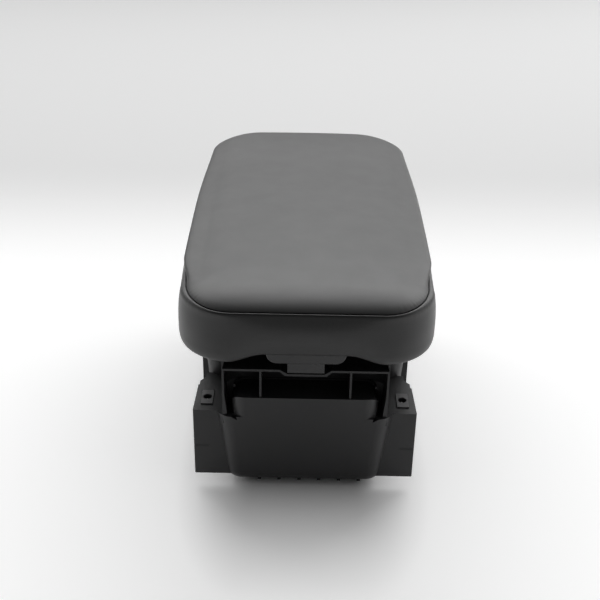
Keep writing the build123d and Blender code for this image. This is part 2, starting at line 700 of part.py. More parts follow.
    # Latch slot, buffer posts, bottom ribs and fixing holes
    with BuildSketch(Plane.XY.offset(RIM_TOP)):
        with Locations((0, latch_y + HOOK_REACH + HOOK_PLAY)):
            Rectangle(
                2 * (HOOK_HALF + HOOK_PLAY),
                HOOK_REACH + HOOK_SWING + 2 * HOOK_PLAY,
                align=(Align.CENTER, Align.MAX),
            )
    extrude(amount=-2 * DIP_DEPTH, mode=Mode.SUBTRACT)
    with BuildSketch(Plane.XY.offset(TUB_RIM - WALL / 2)):
        with Locations(*buffer_points):
            Circle(BUFFER_R + WALL)
    extrude(amount=BUFFER_POST - TUB_RIM + WALL / 2)
    with BuildSketch(Plane.XY.offset(BUFFER_POST)):
        with Locations(*buffer_points):
            Circle(BUFFER_STEM_R)
    extrude(amount=-4 * WALL, mode=Mode.SUBTRACT)
    with BuildSketch(Plane.XY):
        for index in range(RIB_COUNT):
            rib_x = (index - (RIB_COUNT - 1) / 2) * RIB_PITCH + RIB_OFFSET
            with Locations((rib_x, (rib_front + rib_rear) / 2)):
                Rectangle(RIB_WIDTH, rib_rear - rib_front)
    extrude(amount=RIB_HEIGHT + WALL / 2)
    with BuildSketch(Plane.XY.offset(shelf_bottom - 2 * WALL)):
        with Locations(*bolt_points, *lug_points):
            Circle(BOLT_RADIUS)
    extrude(amount=4 * WALL, mode=Mode.SUBTRACT)
    with BuildSketch(Plane.XY.offset(shelf_bottom)):
        with Locations(*[(x, y + NUT_LENGTH / 2) for x, y in bolt_points]):
            Rectangle(NUT_WIDTH + 2 * LAYER_GAP, 3 * NUT_SHEET)
    extrude(amount=WALL, mode=Mode.SUBTRACT)
storage_bin.part.label = "storage_bin"
export_step(storage_bin.part, "parts/storage_bin.step")

# Hinge leaves: pressed steel plate under the base with an eye round the pin
for name, side in (("left", -1), ("right", 1)):
    with BuildPart() as hinge_leaf:
        with BuildSketch(Plane.YZ.offset(side * leaf_x)):
            with Locations((hinge_y + LEAF_PLATE, base_bottom - LEAF_PLATE / 2)):
                Rectangle(LEAF_REACH + LEAF_PLATE, LEAF_PLATE, align=(Align.MAX, Align.CENTER))
            with Locations((hinge_y, hinge_z)):
                Rectangle(2 * LEAF_PLATE, base_bottom - hinge_z, align=(Align.CENTER, Align.MIN))
                Circle(eye_r)
                Circle(bush_r, mode=Mode.SUBTRACT)
        extrude(amount=LEAF_WIDTH / 2, both=True)
        fillet(hinge_leaf.edges().filter_by(Axis.Z).group_by(Axis.Y)[0], 2 * LEAF_PLATE)
        with BuildSketch(Plane.XY.offset(base_bottom)):
            with Locations(*[point for point in leaf_points if point[0] * side > 0]):
                Circle(SCREW_R + LAYER_GAP / 2)
        extrude(amount=-LEAF_PLATE, mode=Mode.SUBTRACT)
    hinge_leaf.part.label = f"hinge_leaf_{name}"
    export_step(hinge_leaf.part, f"parts/hinge_leaf_{name}.step")

    # Plain bush pressed in the eye
    with BuildPart() as hinge_bush:
        with BuildSketch(Plane.YZ.offset(side * leaf_x)):
            with Locations((hinge_y, hinge_z)):
                Circle(bush_r)
                Circle(HINGE_PIN_R + PIN_PLAY, mode=Mode.SUBTRACT)
        extrude(amount=LEAF_WIDTH / 2 + SIDE_PLAY / 2, both=True)
    hinge_bush.part.label = f"hinge_bush_{name}"
    export_step(hinge_bush.part, f"parts/hinge_bush_{name}.step")

    # Folded spring nut over the shelf's slot edge
    with BuildPart() as spring_nut:
        with BuildSketch(Plane.YZ.offset(side * bolt_half)):
            with Locations((front + BOLT_SETBACK, TUB_RIM - WALL / 2)):
                Rectangle(NUT_LENGTH + 2 * NUT_SHEET, WALL + 2 * NUT_SHEET)
            with Locations((front + BOLT_SETBACK - NUT_SHEET, TUB_RIM - WALL / 2)):
                Rectangle(NUT_LENGTH + 2 * NUT_SHEET, WALL, mode=Mode.SUBTRACT)
        extrude(amount=NUT_WIDTH / 2, both=True)
        fillet(spring_nut.edges().filter_by(Axis.X).group_by(Axis.Y)[-1], NUT_SHEET * 0.8)
        with BuildSketch(Plane.XY.offset(shelf_bottom - 2 * NUT_SHEET)):
            with Locations((side * bolt_half, front + BOLT_SETBACK)):
                Circle(BOLT_RADIUS)
        extrude(amount=WALL + 4 * NUT_SHEET, mode=Mode.SUBTRACT)
    spring_nut.part.label = f"spring_nut_{name}"
    export_step(spring_nut.part, f"parts/spring_nut_{name}.step")

# Hinge pin with a groove near each end
with BuildPart() as hinge_pin:
    with BuildSketch(Plane.YZ):
        with Locations((hinge_y, hinge_z)):
            Circle(HINGE_PIN_R)
    extrude(amount=pin_half, both=True)
    chamfer(hinge_pin.edges(), PIN_CHAMFER)
    for side in sides:
        with BuildSketch(Plane.YZ.offset(side * clip_x)):
            with Locations((hinge_y, hinge_z)):
                Circle(2 * HINGE_PIN_R)
                Circle(clip_groove_r, mode=Mode.SUBTRACT)
        extrude(amount=CLIP_WALL / 2, both=True, mode=Mode.SUBTRACT)
hinge_pin.part.label = "hinge_pin"
export_step(hinge_pin.part, "parts/hinge_pin.step")

# Open retaining clips, one in each groove
with BuildPart() as pin_clips:
    for side in sides:
        with BuildSketch(Plane.YZ.offset(side * clip_x)):
            with Locations((hinge_y, hinge_z)):
                Circle(HINGE_PIN_R + CLIP_BAND)
                Circle(clip_groove_r, mode=Mode.SUBTRACT)
                Rectangle(
                    2 * clip_groove_r * CLIP_MOUTH,
                    2 * (HINGE_PIN_R + CLIP_BAND),
                    align=(Align.CENTER, Align.MAX),
                    mode=Mode.SUBTRACT,
                )
        extrude(amount=CLIP_WALL / 2, both=True)
pin_clips.part.label = "pin_clips"
export_step(pin_clips.part, "parts/pin_clips.step")

# Screws, one group for each use
for label, points, seat in (
    ("liner_screws", liner_points, liner_bottom),
    ("leaf_screws", leaf_points, base_bottom - LEAF_PLATE),
    ("bezel_screws", bezel_points, bezel_top - BEZEL_WALL),
):
    screws = screw_at(points, seat)
    screws.label = label
    export_step(screws, f"parts/{label}.step")

# Latch bezel: rounded front plate, top plate and two cheeks for the pin
with BuildPart() as latch_bezel:
    with BuildSketch(Plane.XZ.offset(-front - BEZEL_SETBACK)):
        with Locations((0, LID_BOTTOM - BEZEL_DROP)):
            RectangleRounded(
                2 * BEZEL_HALF,
                2 * (bezel_top - LID_BOTTOM + BEZEL_DROP),
                BEZEL_CORNER,
                align=(Align.CENTER, Align.MIN),
            )
        with Locations((0, bezel_top)):
            Rectangle(4 * BEZEL_HALF, LID_CROWN, align=(Align.CENTER, Align.MIN), mode=Mode.SUBTRACT)
    extrude(amount=-BEZEL_WALL)
    face_edges = latch_bezel.faces().sort_by(Axis.Y)[0].edges()
    fillet(face_edges.sort_by(Axis.Z)[:-1], BEZEL_EDGE)
    with BuildSketch(Plane.XY.offset(bezel_top)):
        with Locations((0, front + BEZEL_SETBACK + BEZEL_WALL / 2)):
            Rectangle(2 * BEZEL_HALF, BEZEL_DEPTH, align=(Align.CENTER, Align.MIN))
    extrude(amount=-BEZEL_WALL)
    for side in sides:
        with BuildSketch(Plane.YZ.offset(side * (CHEEK_X + CHEEK_WALL / 2))):
            with Locations((latch_y, latch_z)):
                Circle(CHEEK_RADIUS)
                Rectangle(
                    2 * CHEEK_RADIUS,
                    bezel_top - latch_z - BEZEL_WALL / 2,
                    align=(Align.CENTER, Align.MIN),
                )
                Circle(LATCH_PIN_R, mode=Mode.SUBTRACT)
        extrude(amount=CHEEK_WALL / 2, both=True)
    with BuildSketch(Plane.XY.offset(bezel_top)):
        with Locations(*bezel_points):
            Circle(SCREW_R + LAYER_GAP / 2)
    extrude(amount=-BEZEL_WALL, mode=Mode.SUBTRACT)
latch_bezel.part.label = "latch_bezel"
export_step(latch_bezel.part, "parts/latch_bezel.step")

# Latch paddle: finger tab, pivot boss and the hook behind it
with BuildPart() as latch_paddle:
    with BuildSketch(Plane.YZ):
        with BuildLine():
            Polyline(
                (front + PADDLE_SETBACK, PADDLE_FOOT),
                (front + PADDLE_SETBACK + PADDLE_WALL, PADDLE_FOOT),
                (front + PADDLE_SETBACK + PADDLE_WALL, latch_z - PADDLE_BOSS),
                (latch_y, latch_z - PADDLE_BOSS),
                (latch_y, latch_z),
                (front + PADDLE_SETBACK, latch_z - PADDLE_BOSS + PADDLE_WALL),
                close=True,
            )
        make_face()
        with Locations((latch_y, latch_z)):
            Circle(PADDLE_BOSS)
    extrude(amount=PADDLE_HALF, both=True)
    fillet(latch_paddle.edges().filter_by(Axis.X).group_by(Axis.Z)[0], PADDLE_WALL * 0.45)
    with BuildSketch(Plane.YZ):
        with BuildLine():
            Polyline(
                (latch_y, latch_z),
                (latch_y, hook_foot + HOOK_WALL),
                (latch_y + HOOK_WALL / 2, hook_foot),
                (latch_y + HOOK_WALL, hook_foot),
                (latch_y + HOOK_REACH, hook_foot + HOOK_WALL),
                (latch_y + HOOK_REACH, hook_shoulder),
                (latch_y + HOOK_WALL, hook_shoulder),
                (latch_y + HOOK_WALL, latch_z),
                close=True,
            )
        make_face()
    extrude(amount=HOOK_HALF, both=True)
    with BuildSketch(Plane.YZ):
        with Locations((latch_y, latch_z)):
            Circle(LATCH_PIN_R + PIN_PLAY)
    extrude(amount=PADDLE_HALF, both=True, mode=Mode.SUBTRACT)
latch_paddle.part.label = "latch_paddle"
export_step(latch_paddle.part, "parts/latch_paddle.step")

# Latch pin through both cheeks
with BuildPart() as latch_pin:
    with BuildSketch(Plane.YZ):
        with Locations((latch_y, latch_z)):
            Circle(LATCH_PIN_R)
    extrude(amount=CHEEK_X + CHEEK_WALL + PIN_CHAMFER, both=True)
    chamfer(latch_pin.edges(), PIN_CHAMFER)
latch_pin.part.label = "latch_pin"
export_step(latch_pin.part, "parts/latch_pin.step")

# Latch spring: coil on the pin between the paddle and a cheek
with BuildPart() as latch_spring:
    with BuildLine() as coil:
        Helix(
            spring_pitch,
            spring_pitch * SPRING_COILS,
            LATCH_PIN_R + SPRING_PLAY + SPRING_WIRE,
            center=(spring_start, latch_y, latch_z),
            direction=(1, 0, 0),
        )
    with BuildSketch(Plane(coil.line @ 0, z_dir=coil.line % 0)):
        Circle(SPRING_WIRE)
    sweep(is_frenet=True)
latch_spring.part.label = "latch_spring"
export_step(latch_spring.part, "parts/latch_spring.step")

# Rubber buffers that the closed lid rests on
with BuildPart() as rubber_buffers:
    with BuildSketch(Plane.XY.offset(BUFFER_POST)):
        with Locations(*buffer_points):
            Circle(BUFFER_R)
    extrude(amount=liner_bottom - LAYER_GAP - BUFFER_POST)
    fillet(rubber_buffers.edges().group_by(Axis.Z)[-1], BUFFER_R / 3)
    with BuildSketch(Plane.XY.offset(BUFFER_POST)):
        with Locations(*buffer_points):
            Circle(BUFFER_STEM_R)
    extrude(amount=-BUFFER_STEM)
rubber_buffers.part.label = "rubber_buffers"
export_step(rubber_buffers.part, "parts/rubber_buffers.step")
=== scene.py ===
"""Car centre armrest: a sewn leather lid cushion on a moulded storage bin, with its latch and hinge."""

from __future__ import annotations

import logging
import math
from dataclasses import dataclass, field
from enum import Enum
from types import MappingProxyType
from typing import Mapping

import bmesh
import bpy
import numpy as np
from mathutils import Matrix


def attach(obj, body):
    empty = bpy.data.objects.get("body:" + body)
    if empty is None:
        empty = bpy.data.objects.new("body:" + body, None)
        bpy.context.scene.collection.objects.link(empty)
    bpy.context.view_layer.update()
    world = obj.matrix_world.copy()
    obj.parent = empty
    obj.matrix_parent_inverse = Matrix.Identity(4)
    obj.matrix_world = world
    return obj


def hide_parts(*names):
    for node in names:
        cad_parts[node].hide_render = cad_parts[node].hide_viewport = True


LOG = logging.getLogger("armrest")
Pair = tuple[float, float]
Triple = tuple[float, float, float]
Colour = Triple
Outline = tuple[np.ndarray, np.ndarray]
Socket = bpy.types.NodeSocket
Sockets = bpy.types.bpy_prop_collection
Term = Socket | float | tuple
Look = tuple[Socket, Socket]
Inputs = Mapping[str | int, Term]
# Points closer than this are one, and a face smaller than this has no direction
MERGE_DISTANCE = 2e-5
NO_AREA = 1e-10
# Just short of the last step of a grid, counted from its number of points
LAST_STEP = 1.001
# Factors that bring the top of the overhang's hump and of the corners' share to one
HUMP_TOP = 27.0 / 4.0
CORNER_TOP = 2.6
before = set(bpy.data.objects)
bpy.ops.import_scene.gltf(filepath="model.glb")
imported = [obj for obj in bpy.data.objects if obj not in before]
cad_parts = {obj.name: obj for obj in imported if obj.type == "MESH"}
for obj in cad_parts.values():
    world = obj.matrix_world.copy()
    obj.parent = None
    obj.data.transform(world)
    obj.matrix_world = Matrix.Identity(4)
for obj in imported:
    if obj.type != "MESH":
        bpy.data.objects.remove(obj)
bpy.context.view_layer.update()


class Body(Enum):
    """Bodies of the mechanism that pieces ride on."""

    BIN = "bin"
    LID = "lid"
    LATCH = "latch"


class Grade(Enum):
    """Spacing of a row of samples."""

    EVEN = "even"
    CROWDED_LATE = "crowded_late"


class Slope(Enum):
    """How a value goes from one end of its reach to the other, in Blender's words."""

    STRAIGHT = "LINEAR"
    SMOOTH = "SMOOTHSTEP"


class Ring:
    """Places along the cushion's section, from the middle of its top round to the middle of its inside."""

    TOP = 0.0
    PANEL = 0.66
    SEAM = 1.0
    FORE = 1.85
    BEAD = 2.0
    UNDER = 3.0
    HEM = 3.6
    TURNED = 4.2
    INNER = 4.7
    INSIDE = 5.0
    LAST = 6.0


# Shapes worked out as arrays


def spaced(start: float, end: float, count: int, grade: Grade) -> np.ndarray:
    """Samples from start to end; crowded late ones follow a quarter sine, close together at the end.

    Args:
        start: First sample.
        end: Last sample.
        count: Number of samples.
        grade: Even spacing, or spacing that closes up towards the end.

    Returns:
        The samples as an array.
    """
    if grade is Grade.EVEN:
        return np.linspace(start, end, count)
    return start + (end - start) * np.sin(np.linspace(0.0, 1.0, count) * math.pi / 2.0)


def smooth_step(value: np.ndarray) -> np.ndarray:
    """Three times the square less twice the cube of a value held between nought and one."""
    held = np.clip(value, 0.0, 1.0)
    return held * held * (3.0 - 2.0 * held)


def smooth_track(knots: np.ndarray, values: np.ndarray, at: np.ndarray) -> np.ndarray:
    """Cubic Hermite curve through knots, with each inner slope the chord across its two neighbours.

    Args:
        knots: Rising parameter of each knot.
        values: Value at each knot.
        at: Parameters to read the curve at.

    Returns:
        The curve's values.
    """
    slopes = np.gradient(values, knots)
    index = np.clip(np.searchsorted(knots, at, side="right") - 1, 0, len(knots) - 2)
    step = knots[index + 1] - knots[index]
    part = np.clip((at - knots[index]) / step, 0.0, 1.0)
    square, cube = part**2, part**3
    return (
        (2 * cube - 3 * square + 1) * values[index]
        + (cube - 2 * square + part) * step * slopes[index]
        + (3 * square - 2 * cube) * values[index + 1]
        + (cube - square) * step * slopes[index + 1]
    )


def evened(values: np.ndarray, passes: int, *axes: int) -> np.ndarray:
    """Grid evened out along its axes, some times over: half the value and a quarter of each neighbour."""
    for axis in axes * passes:
        values = (np.roll(values, 1, axis=axis) + 2.0 * values + np.roll(values, -1, axis=axis)) / 4.0
    return values


def read_between(values: np.ndarray, row: np.ndarray, column: np.ndarray) -> np.ndarray:
    """Reads a grid between its points, by straight steps both ways.

    Args:
        values: Values on the grid.
        row: Place among the rows, counted in rows.
        column: Place among the columns, counted in columns.

    Returns:
        Value at each place, held at the edges of the grid.
    """
    row = np.clip(row, 0.0, values.shape[0] - LAST_STEP)
    column = np.clip(column, 0.0, values.shape[1] - LAST_STEP)
    top, left = np.floor(row).astype(int), np.floor(column).astype(int)
    down, right = row - top, column - left
    near = (1.0 - right) * values[top, left] + right * values[top, left + 1]
    far = (1.0 - right) * values[top + 1, left] + right * values[top + 1, left + 1]
    return (1.0 - down) * near + down * far


def grid_quads(rows: int, columns: int, closed: bool = False) -> np.ndarray:
    """Four-cornered faces of a grid; an open one faces up when rows run along X and columns along Y.

    Args:
        rows: Number of rows.
        columns: Points on each row.
        closed: Whether each row closes on itself, which turns the faces the other way round.

    Returns:
        Vertex indices, four to a face.
    """
    steps = columns if closed else columns - 1
    row, column = np.meshgrid(np.arange(rows - 1), np.arange(steps), indexing="ij")
    first = row * columns + column
    beside = row * columns + (column + 1) % columns
    along = (first, beside, beside + columns, first + columns)
    across = (first, first + columns, beside + columns, beside)
    return np.stack(along if closed else across, axis=-1).reshape(-1, 4)


def mesh_from_grid(
    name: str, points: np.ndarray, quads: np.ndarray, closed: bool = False
) -> bpy.types.Object:
    """Mesh object at the origin; a closed skin is smooth, merged at doubled points and faces outwards.

    Args:
        name: Name of the object.
        points: Points of the grid, three numbers each, in metres.
        quads: Four vertex indices for each face.
        closed: Whether it is a closed skin; any other mesh keeps the order of its points.

    Returns:
        The object.
    """
    mesh = bpy.data.meshes.new(name)
    mesh.from_pydata(points.reshape(-1, 3).tolist(), [], quads.tolist())
    if closed:
        work = bmesh.new()
        work.from_mesh(mesh)
        bmesh.ops.remove_doubles(work, verts=work.verts[:], dist=MERGE_DISTANCE)
        bmesh.ops.recalc_face_normals(work, faces=work.faces[:])
        work.to_mesh(mesh)
        work.free()
        mesh.polygons.foreach_set("use_smooth", np.ones(len(mesh.polygons), dtype=bool))
    made = bpy.data.objects.new(name, mesh)
    bpy.context.scene.collection.objects.link(made)
    return made


# Shader work


class Bench:
    """Adds and joins the nodes of one material, group or world."""

    def __init__(self, tree: bpy.types.NodeTree) -> None:
        """Keeps the node tree that the nodes go into."""
        self.tree = tree

    def feed(self, term: Term, target: Socket) -> None:
        """Links an output to an input, or sets the input to a plain value; a colour gets its alpha."""
        if isinstance(term, bpy.types.NodeSocket):
            self.tree.links.new(term, target)
        else:
            target.default_value = (*term, 1.0) if target.type == "RGBA" else term

    def node(self, kind: str, inputs: Inputs = MappingProxyType({}), **settings: object) -> bpy.types.Node:
        """New shader node of a kind, with its settings and inputs.

        Args:
            kind: Blender's name for the node type, after the words it starts with.
            inputs: Output or plain value for each input, by its name or number.
            settings: Properties of the node.

        Returns:
            The node.
        """
        made = self.tree.nodes.new("ShaderNode" + kind)
        for key, value in settings.items():
            setattr(made, key, value)
        for key, term in inputs.items():
            self.feed(term, made.inputs[key])
        return made

    def math(self, operation: str, *terms: Term, clamp: bool = False) -> Socket:
        """Result of a sum on outputs or plain numbers, held between nought and one if it is clamped."""
        made = self.node("Math", dict(enumerate(terms)), operation=operation, use_clamp=clamp)
        return made.outputs[0]

    def ramp(
        self, value: Socket, reach: Pair, ends: tuple[Term, Term] = (0.0, 1.0), slope: Slope = Slope.STRAIGHT
    ) -> Socket:
        """Value brought from its reach to new ends, in a straight line or by a smooth step."""
        made = self.node("MapRange", dict(enumerate((value, *reach, *ends))), interpolation_type=slope.value)
        return made.outputs["Result"]

    def noise(self, place: Socket, scale: Term, detail: float, roughness: float = 0.5) -> Socket:
        """Noise pattern at a place."""
        inputs = {"Vector": place, "Scale": scale, "Detail": detail, "Roughness": roughness}
        return self.node("TexNoise", inputs).outputs["Fac"]

    def tint(self, mask: Socket, base: Term, other: Term) -> Socket:
        """Mix of two colours, by a mask that is the share of the other one."""
        inputs = {"Factor": mask, "A": base, "B": other}
        return self.node("Mix", inputs, data_type="RGBA").outputs["Result"]

    def bump(self, height: Socket, depth: float, strength: float) -> Socket:
        """Normal bumped by a height of nought to one, over a depth in metres."""
        inputs = {"Height": height, "Distance": depth, "Strength": strength}
        return self.node("Bump", inputs).outputs["Normal"]

    def group(self, tree: bpy.types.NodeTree, **inputs: Term) -> Sockets:
        """Outputs of a group that is placed with its own inputs."""
        return self.node("Group", inputs, node_tree=tree).outputs

    def shade(self, inputs: Inputs) -> None:
        """Joins a Principled shader with its inputs to the material's output."""
        shader = self.node("BsdfPrincipled", inputs)
        self.node("OutputMaterial", {"Surface": shader.outputs["BSDF"]})


def new_group(
    name: str, outputs: tuple[str, ...], **inputs: float | Triple
) -> tuple[Bench, Sockets, Sockets]:
    """Empty shader group that takes coordinates and values, and puts out values.

    Args:
        name: Name of the group.
        outputs: Name of each value that it puts out.
        inputs: Default of each input after the coordinates; three numbers make it a vector.

    Returns:
        A bench on the group, what it is given, and the sockets that take its results.
    """
    tree = bpy.data.node_groups.new(name, "ShaderNodeTree")
    tree.interface.new_socket("Vector", in_out="INPUT", socket_type="NodeSocketVector")
    for key, value in inputs.items():
        kind = "NodeSocketVector" if isinstance(value, tuple) else "NodeSocketFloat"
        tree.interface.new_socket(key, in_out="INPUT", socket_type=kind).default_value = value
    for key in outputs:
        tree.interface.new_socket(key, in_out="OUTPUT", socket_type="NodeSocketFloat")
    return Bench(tree), tree.nodes.new("NodeGroupInput").outputs, tree.nodes.new("NodeGroupOutput").inputs


class Effects:
    """Surface effects that several finishes share, each built once as a shader group."""

    ROUGHER = 3.0
    DOME_REACH = (0.0, 0.32)
    DRIFT_REACH = (0.3, 0.7)
    SPECK_SCALE = 420.0
    SPECK_REACH = (0.55, 0.8)
    UPWARD_REACH = (0.2, 1.0)
    UPWARD_ENDS = (0.1, 1.0)

    def __init__(self) -> None:
        """Builds the groups."""
        self.grain = self._grain()
        self.mottle = self._mottle()
        self.dust = self._dust()
        self.brushed = self._brushed()

    def _grain(self) -> bpy.types.NodeTree:
        """Fine grain: cell edges of a Voronoi pattern, roughened by noise at three times its scale."""
        bench, given, result = new_group("surface_grain", ("Height", "Cavity"), Scale=900.0, Cells=0.5)
        place, scale = given["Vector"], given["Scale"]
        cells = bench.node("TexVoronoi", {"Vector": place, "Scale": scale}, feature="DISTANCE_TO_EDGE")
        rough = bench.noise(place, bench.math("MULTIPLY", scale, self.ROUGHER), detail=3.0, roughness=0.6)
        dome = bench.ramp(cells.outputs["Distance"], self.DOME_REACH, slope=Slope.SMOOTH)
        blend = {"Factor": given["Cells"], "A": rough, "B": dome}
        bench.feed(bench.node("Mix", blend, data_type="FLOAT").outputs["Result"], result["Height"])
        # Cavity is nought in the grooves between cells and one on their tops: the mask for painted shade in
        # grooves
        bench.feed(dome, result["Cavity"])
        return bench.tree

    def _mottle(self) -> bpy.types.NodeTree:
        """Slow drift of a value over the surface: two octaves of noise, mapped between a low and a high."""
        bench, given, result = new_group("slow_mottle", ("Value",), Scale=20.0, Low=0.4, High=0.5)
        noise = bench.noise(given["Vector"], given["Scale"], detail=2.0, roughness=0.55)
        bench.feed(bench.ramp(noise, self.DRIFT_REACH, (given["Low"], given["High"])), result["Value"])
        return bench.tree

    def _dust(self) -> bpy.types.NodeTree:
        """Dust: sparse noise specks, kept to faces that look upwards, times an amount."""
        bench, given, result = new_group("settled_dust", ("Mask",), Amount=0.2)
        noise = bench.noise(given["Vector"], self.SPECK_SCALE, detail=4.0, roughness=0.75)
        specks = bench.ramp(noise, self.SPECK_REACH)
        facing = bench.node("SeparateXYZ", {"Vector": bench.node("NewGeometry").outputs["Normal"]})
        upward = bench.ramp(facing.outputs["Z"], self.UPWARD_REACH, self.UPWARD_ENDS)
        settled = bench.math("MULTIPLY", specks, upward)
        bench.feed(bench.math("MULTIPLY", settled, given["Amount"]), result["Mask"])
        return bench.tree

    def _brushed(self) -> bpy.types.NodeTree:
        """Drawn or ground lines: noise on coordinates squeezed across the lines and stretched along."""
        bench, given, result = new_group("drawn_lines", ("Height",), Along=(20.0, 900.0, 900.0))
        squeezed = bench.node("VectorMath", {0: given["Vector"], 1: given["Along"]}, operation="MULTIPLY")
        bench.feed(bench.noise(squeezed.outputs["Vector"], 1.0, detail=3.0), result["Height"])
        return bench.tree


def new_material(name: str) -> tuple[bpy.types.Material, Bench, Socket]:
    """Empty material.

    Args:
        name: Name of the finish.

    Returns:
        The material, a bench on it and the object's own coordinates.
    """
    made = bpy.data.materials.new(name)
    made.use_nodes = True
    made.node_tree.nodes.clear()
    bench = Bench(made.node_tree)
    return made, bench, bench.node("TexCoord").outputs["Object"]


@dataclass(frozen=True)
class Finish:
    """What every finish has: a colour, an uneven gloss and a relief."""

    name: str
    colour: Colour
    roughness: Pair = (0.4, 0.5)
    gloss_scale: float = 35.0
    relief: float = 0.00004
    bump: float = 0.6
    metallic: float = 0.0
    specular: float = 0.5

    def surface(self, bench: Bench, effects: Effects, place: Socket) -> Look:
        """What each finish gives for itself.

        Args:
            bench: Bench of the material.
            effects: Shared shader groups.
            place: Coordinates on the piece.

        Returns:
            Colour of the surface, and height of its relief.
        """
        raise NotImplementedError

    def material(self, effects: Effects) -> bpy.types.Material:
        """Material with an uneven gloss, and the colour and relief of the finish's own surface.

        Args:
            effects: Shared shader groups.

        Returns:
            The material.
        """
        made, bench, place = new_material(self.name)
        low, high = self.roughness
        gloss = bench.group(effects.mottle, Vector=place, Scale=self.gloss_scale, Low=low, High=high)
        colour, height = self.surface(bench, effects, place)
        look = {
            "Base Color": colour,
            "Roughness": gloss["Value"],
            "Metallic": self.metallic,
            "Specular IOR Level": self.specular,
            "Normal": bench.bump(height, self.relief, self.bump),
        }
        bench.shade(look)
        return made


@dataclass(frozen=True)
class Leather(Finish):
    """Charcoal hide: fine pebble grain with painted shade in its creases, slow change of tone and a soft
    sheen.
    """

    name: str = "charcoal_leather"
    colour: Colour = (0.023, 0.0234, 0.0237)
    roughness: Pair = (0.40, 0.44)
    gloss_scale: float = 60.0
    relief: float = 0.00002
    bump: float = 0.35
    worn: Colour = (0.027, 0.0274, 0.0277)
    # Painted shade in the creases between the pebbles
    crevice_shade: Colour = (0.019, 0.019, 0.019)
    drift_scale: float = 9.0
    pebble: float = 1500.0
    cells: float = 0.6

    def surface(self, bench: Bench, effects: Effects, place: Socket) -> Look:
        """Hide that drifts between two tones, with painted shade in the creases between its pebbles."""
        drift = bench.group(effects.mottle, Vector=place, Scale=self.drift_scale, Low=0.0, High=1.0)
        grain = bench.group(effects.grain, Vector=place, Scale=self.pebble, Cells=self.cells)
        hide = bench.tint(drift["Value"], self.colour, self.worn)
        return bench.tint(grain["Cavity"], self.crevice_shade, hide), grain["Height"]


@dataclass(frozen=True)
class MouldedPlastic(Finish):
    """Moulded plastic or rubber: spark-eroded grain, uneven gloss and a little dust."""

    grain: float = 1500.0
    cells: float = 0.25
    dust: float = 0.2
    dusted: Pair = (0.6, 0.12)

    def surface(self, bench: Bench, effects: Effects, place: Socket) -> Look:
        """Grained moulding, paler where dust lies."""
        grain = bench.group(effects.grain, Vector=place, Scale=self.grain, Cells=self.cells)
        dust = bench.group(effects.dust, Vector=place, Amount=self.dust)
        share, pale = self.dusted
        dusty = tuple(share * part + pale for part in self.colour)
        return bench.tint(dust["Mask"], self.colour, dusty), grain["Height"]


@dataclass(frozen=True)
class Steel(Finish):
    """Steel: drawn lines along one direction, uneven gloss, bare or under a dark coat."""

    roughness: Pair = (0.28, 0.4)
    gloss_scale: float = 160.0
    relief: float = 0.00002
    bump: float = 0.3
    metallic: float = 1.0
    along: Triple = (30.0, 900.0, 900.0)
    dulled: float = 0.7

    def surface(self, bench: Bench, effects: Effects, place: Socket) -> Look:
        """Steel that is duller along its lines."""
        lines = bench.group(effects.brushed, Vector=place, Along=self.along)["Height"]
        return bench.tint(lines, self.colour, tuple(self.dulled * part for part in self.colour)), lines


@dataclass(frozen=True)
class OpenFoam(Finish):
    """Cushion foam: open cells, with painted shade in their pits."""

    name: str = "cushion_foam"
    colour: Colour = (0.72, 0.66, 0.45)
    roughness: Pair = (0.9, 0.9)
    relief: float = 0.0003
    bump: float = 0.8
    # Painted shade in the pits between the cells
    pit: Colour = (0.42, 0.37, 0.22)
    pore: float = 700.0
    cells: float = 0.85

    def surface(self, bench: Bench, effects: Effects, place: Socket) -> Look:
        """Foam with painted shade in its pits."""
        cells = bench.group(effects.grain, Vector=place, Scale=self.pore, Cells=self.cells)
        return bench.tint(cells["Cavity"], self.pit, self.colour), cells["Height"]


def dress(finish: Finish, effects: Effects, *nodes: str) -> tuple[str, ...]:
    """Gives solids of the frame their finish.

    Args:
        finish: Finish that they share.
        effects: Shared shader groups.
        nodes: Names of the solids.

    Returns:
        The names.
    """
    material = finish.material(effects)
    for node in nodes:
        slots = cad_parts[node].data.materials
        slots.clear()
        slots.append(material)
    return nodes


# The lid


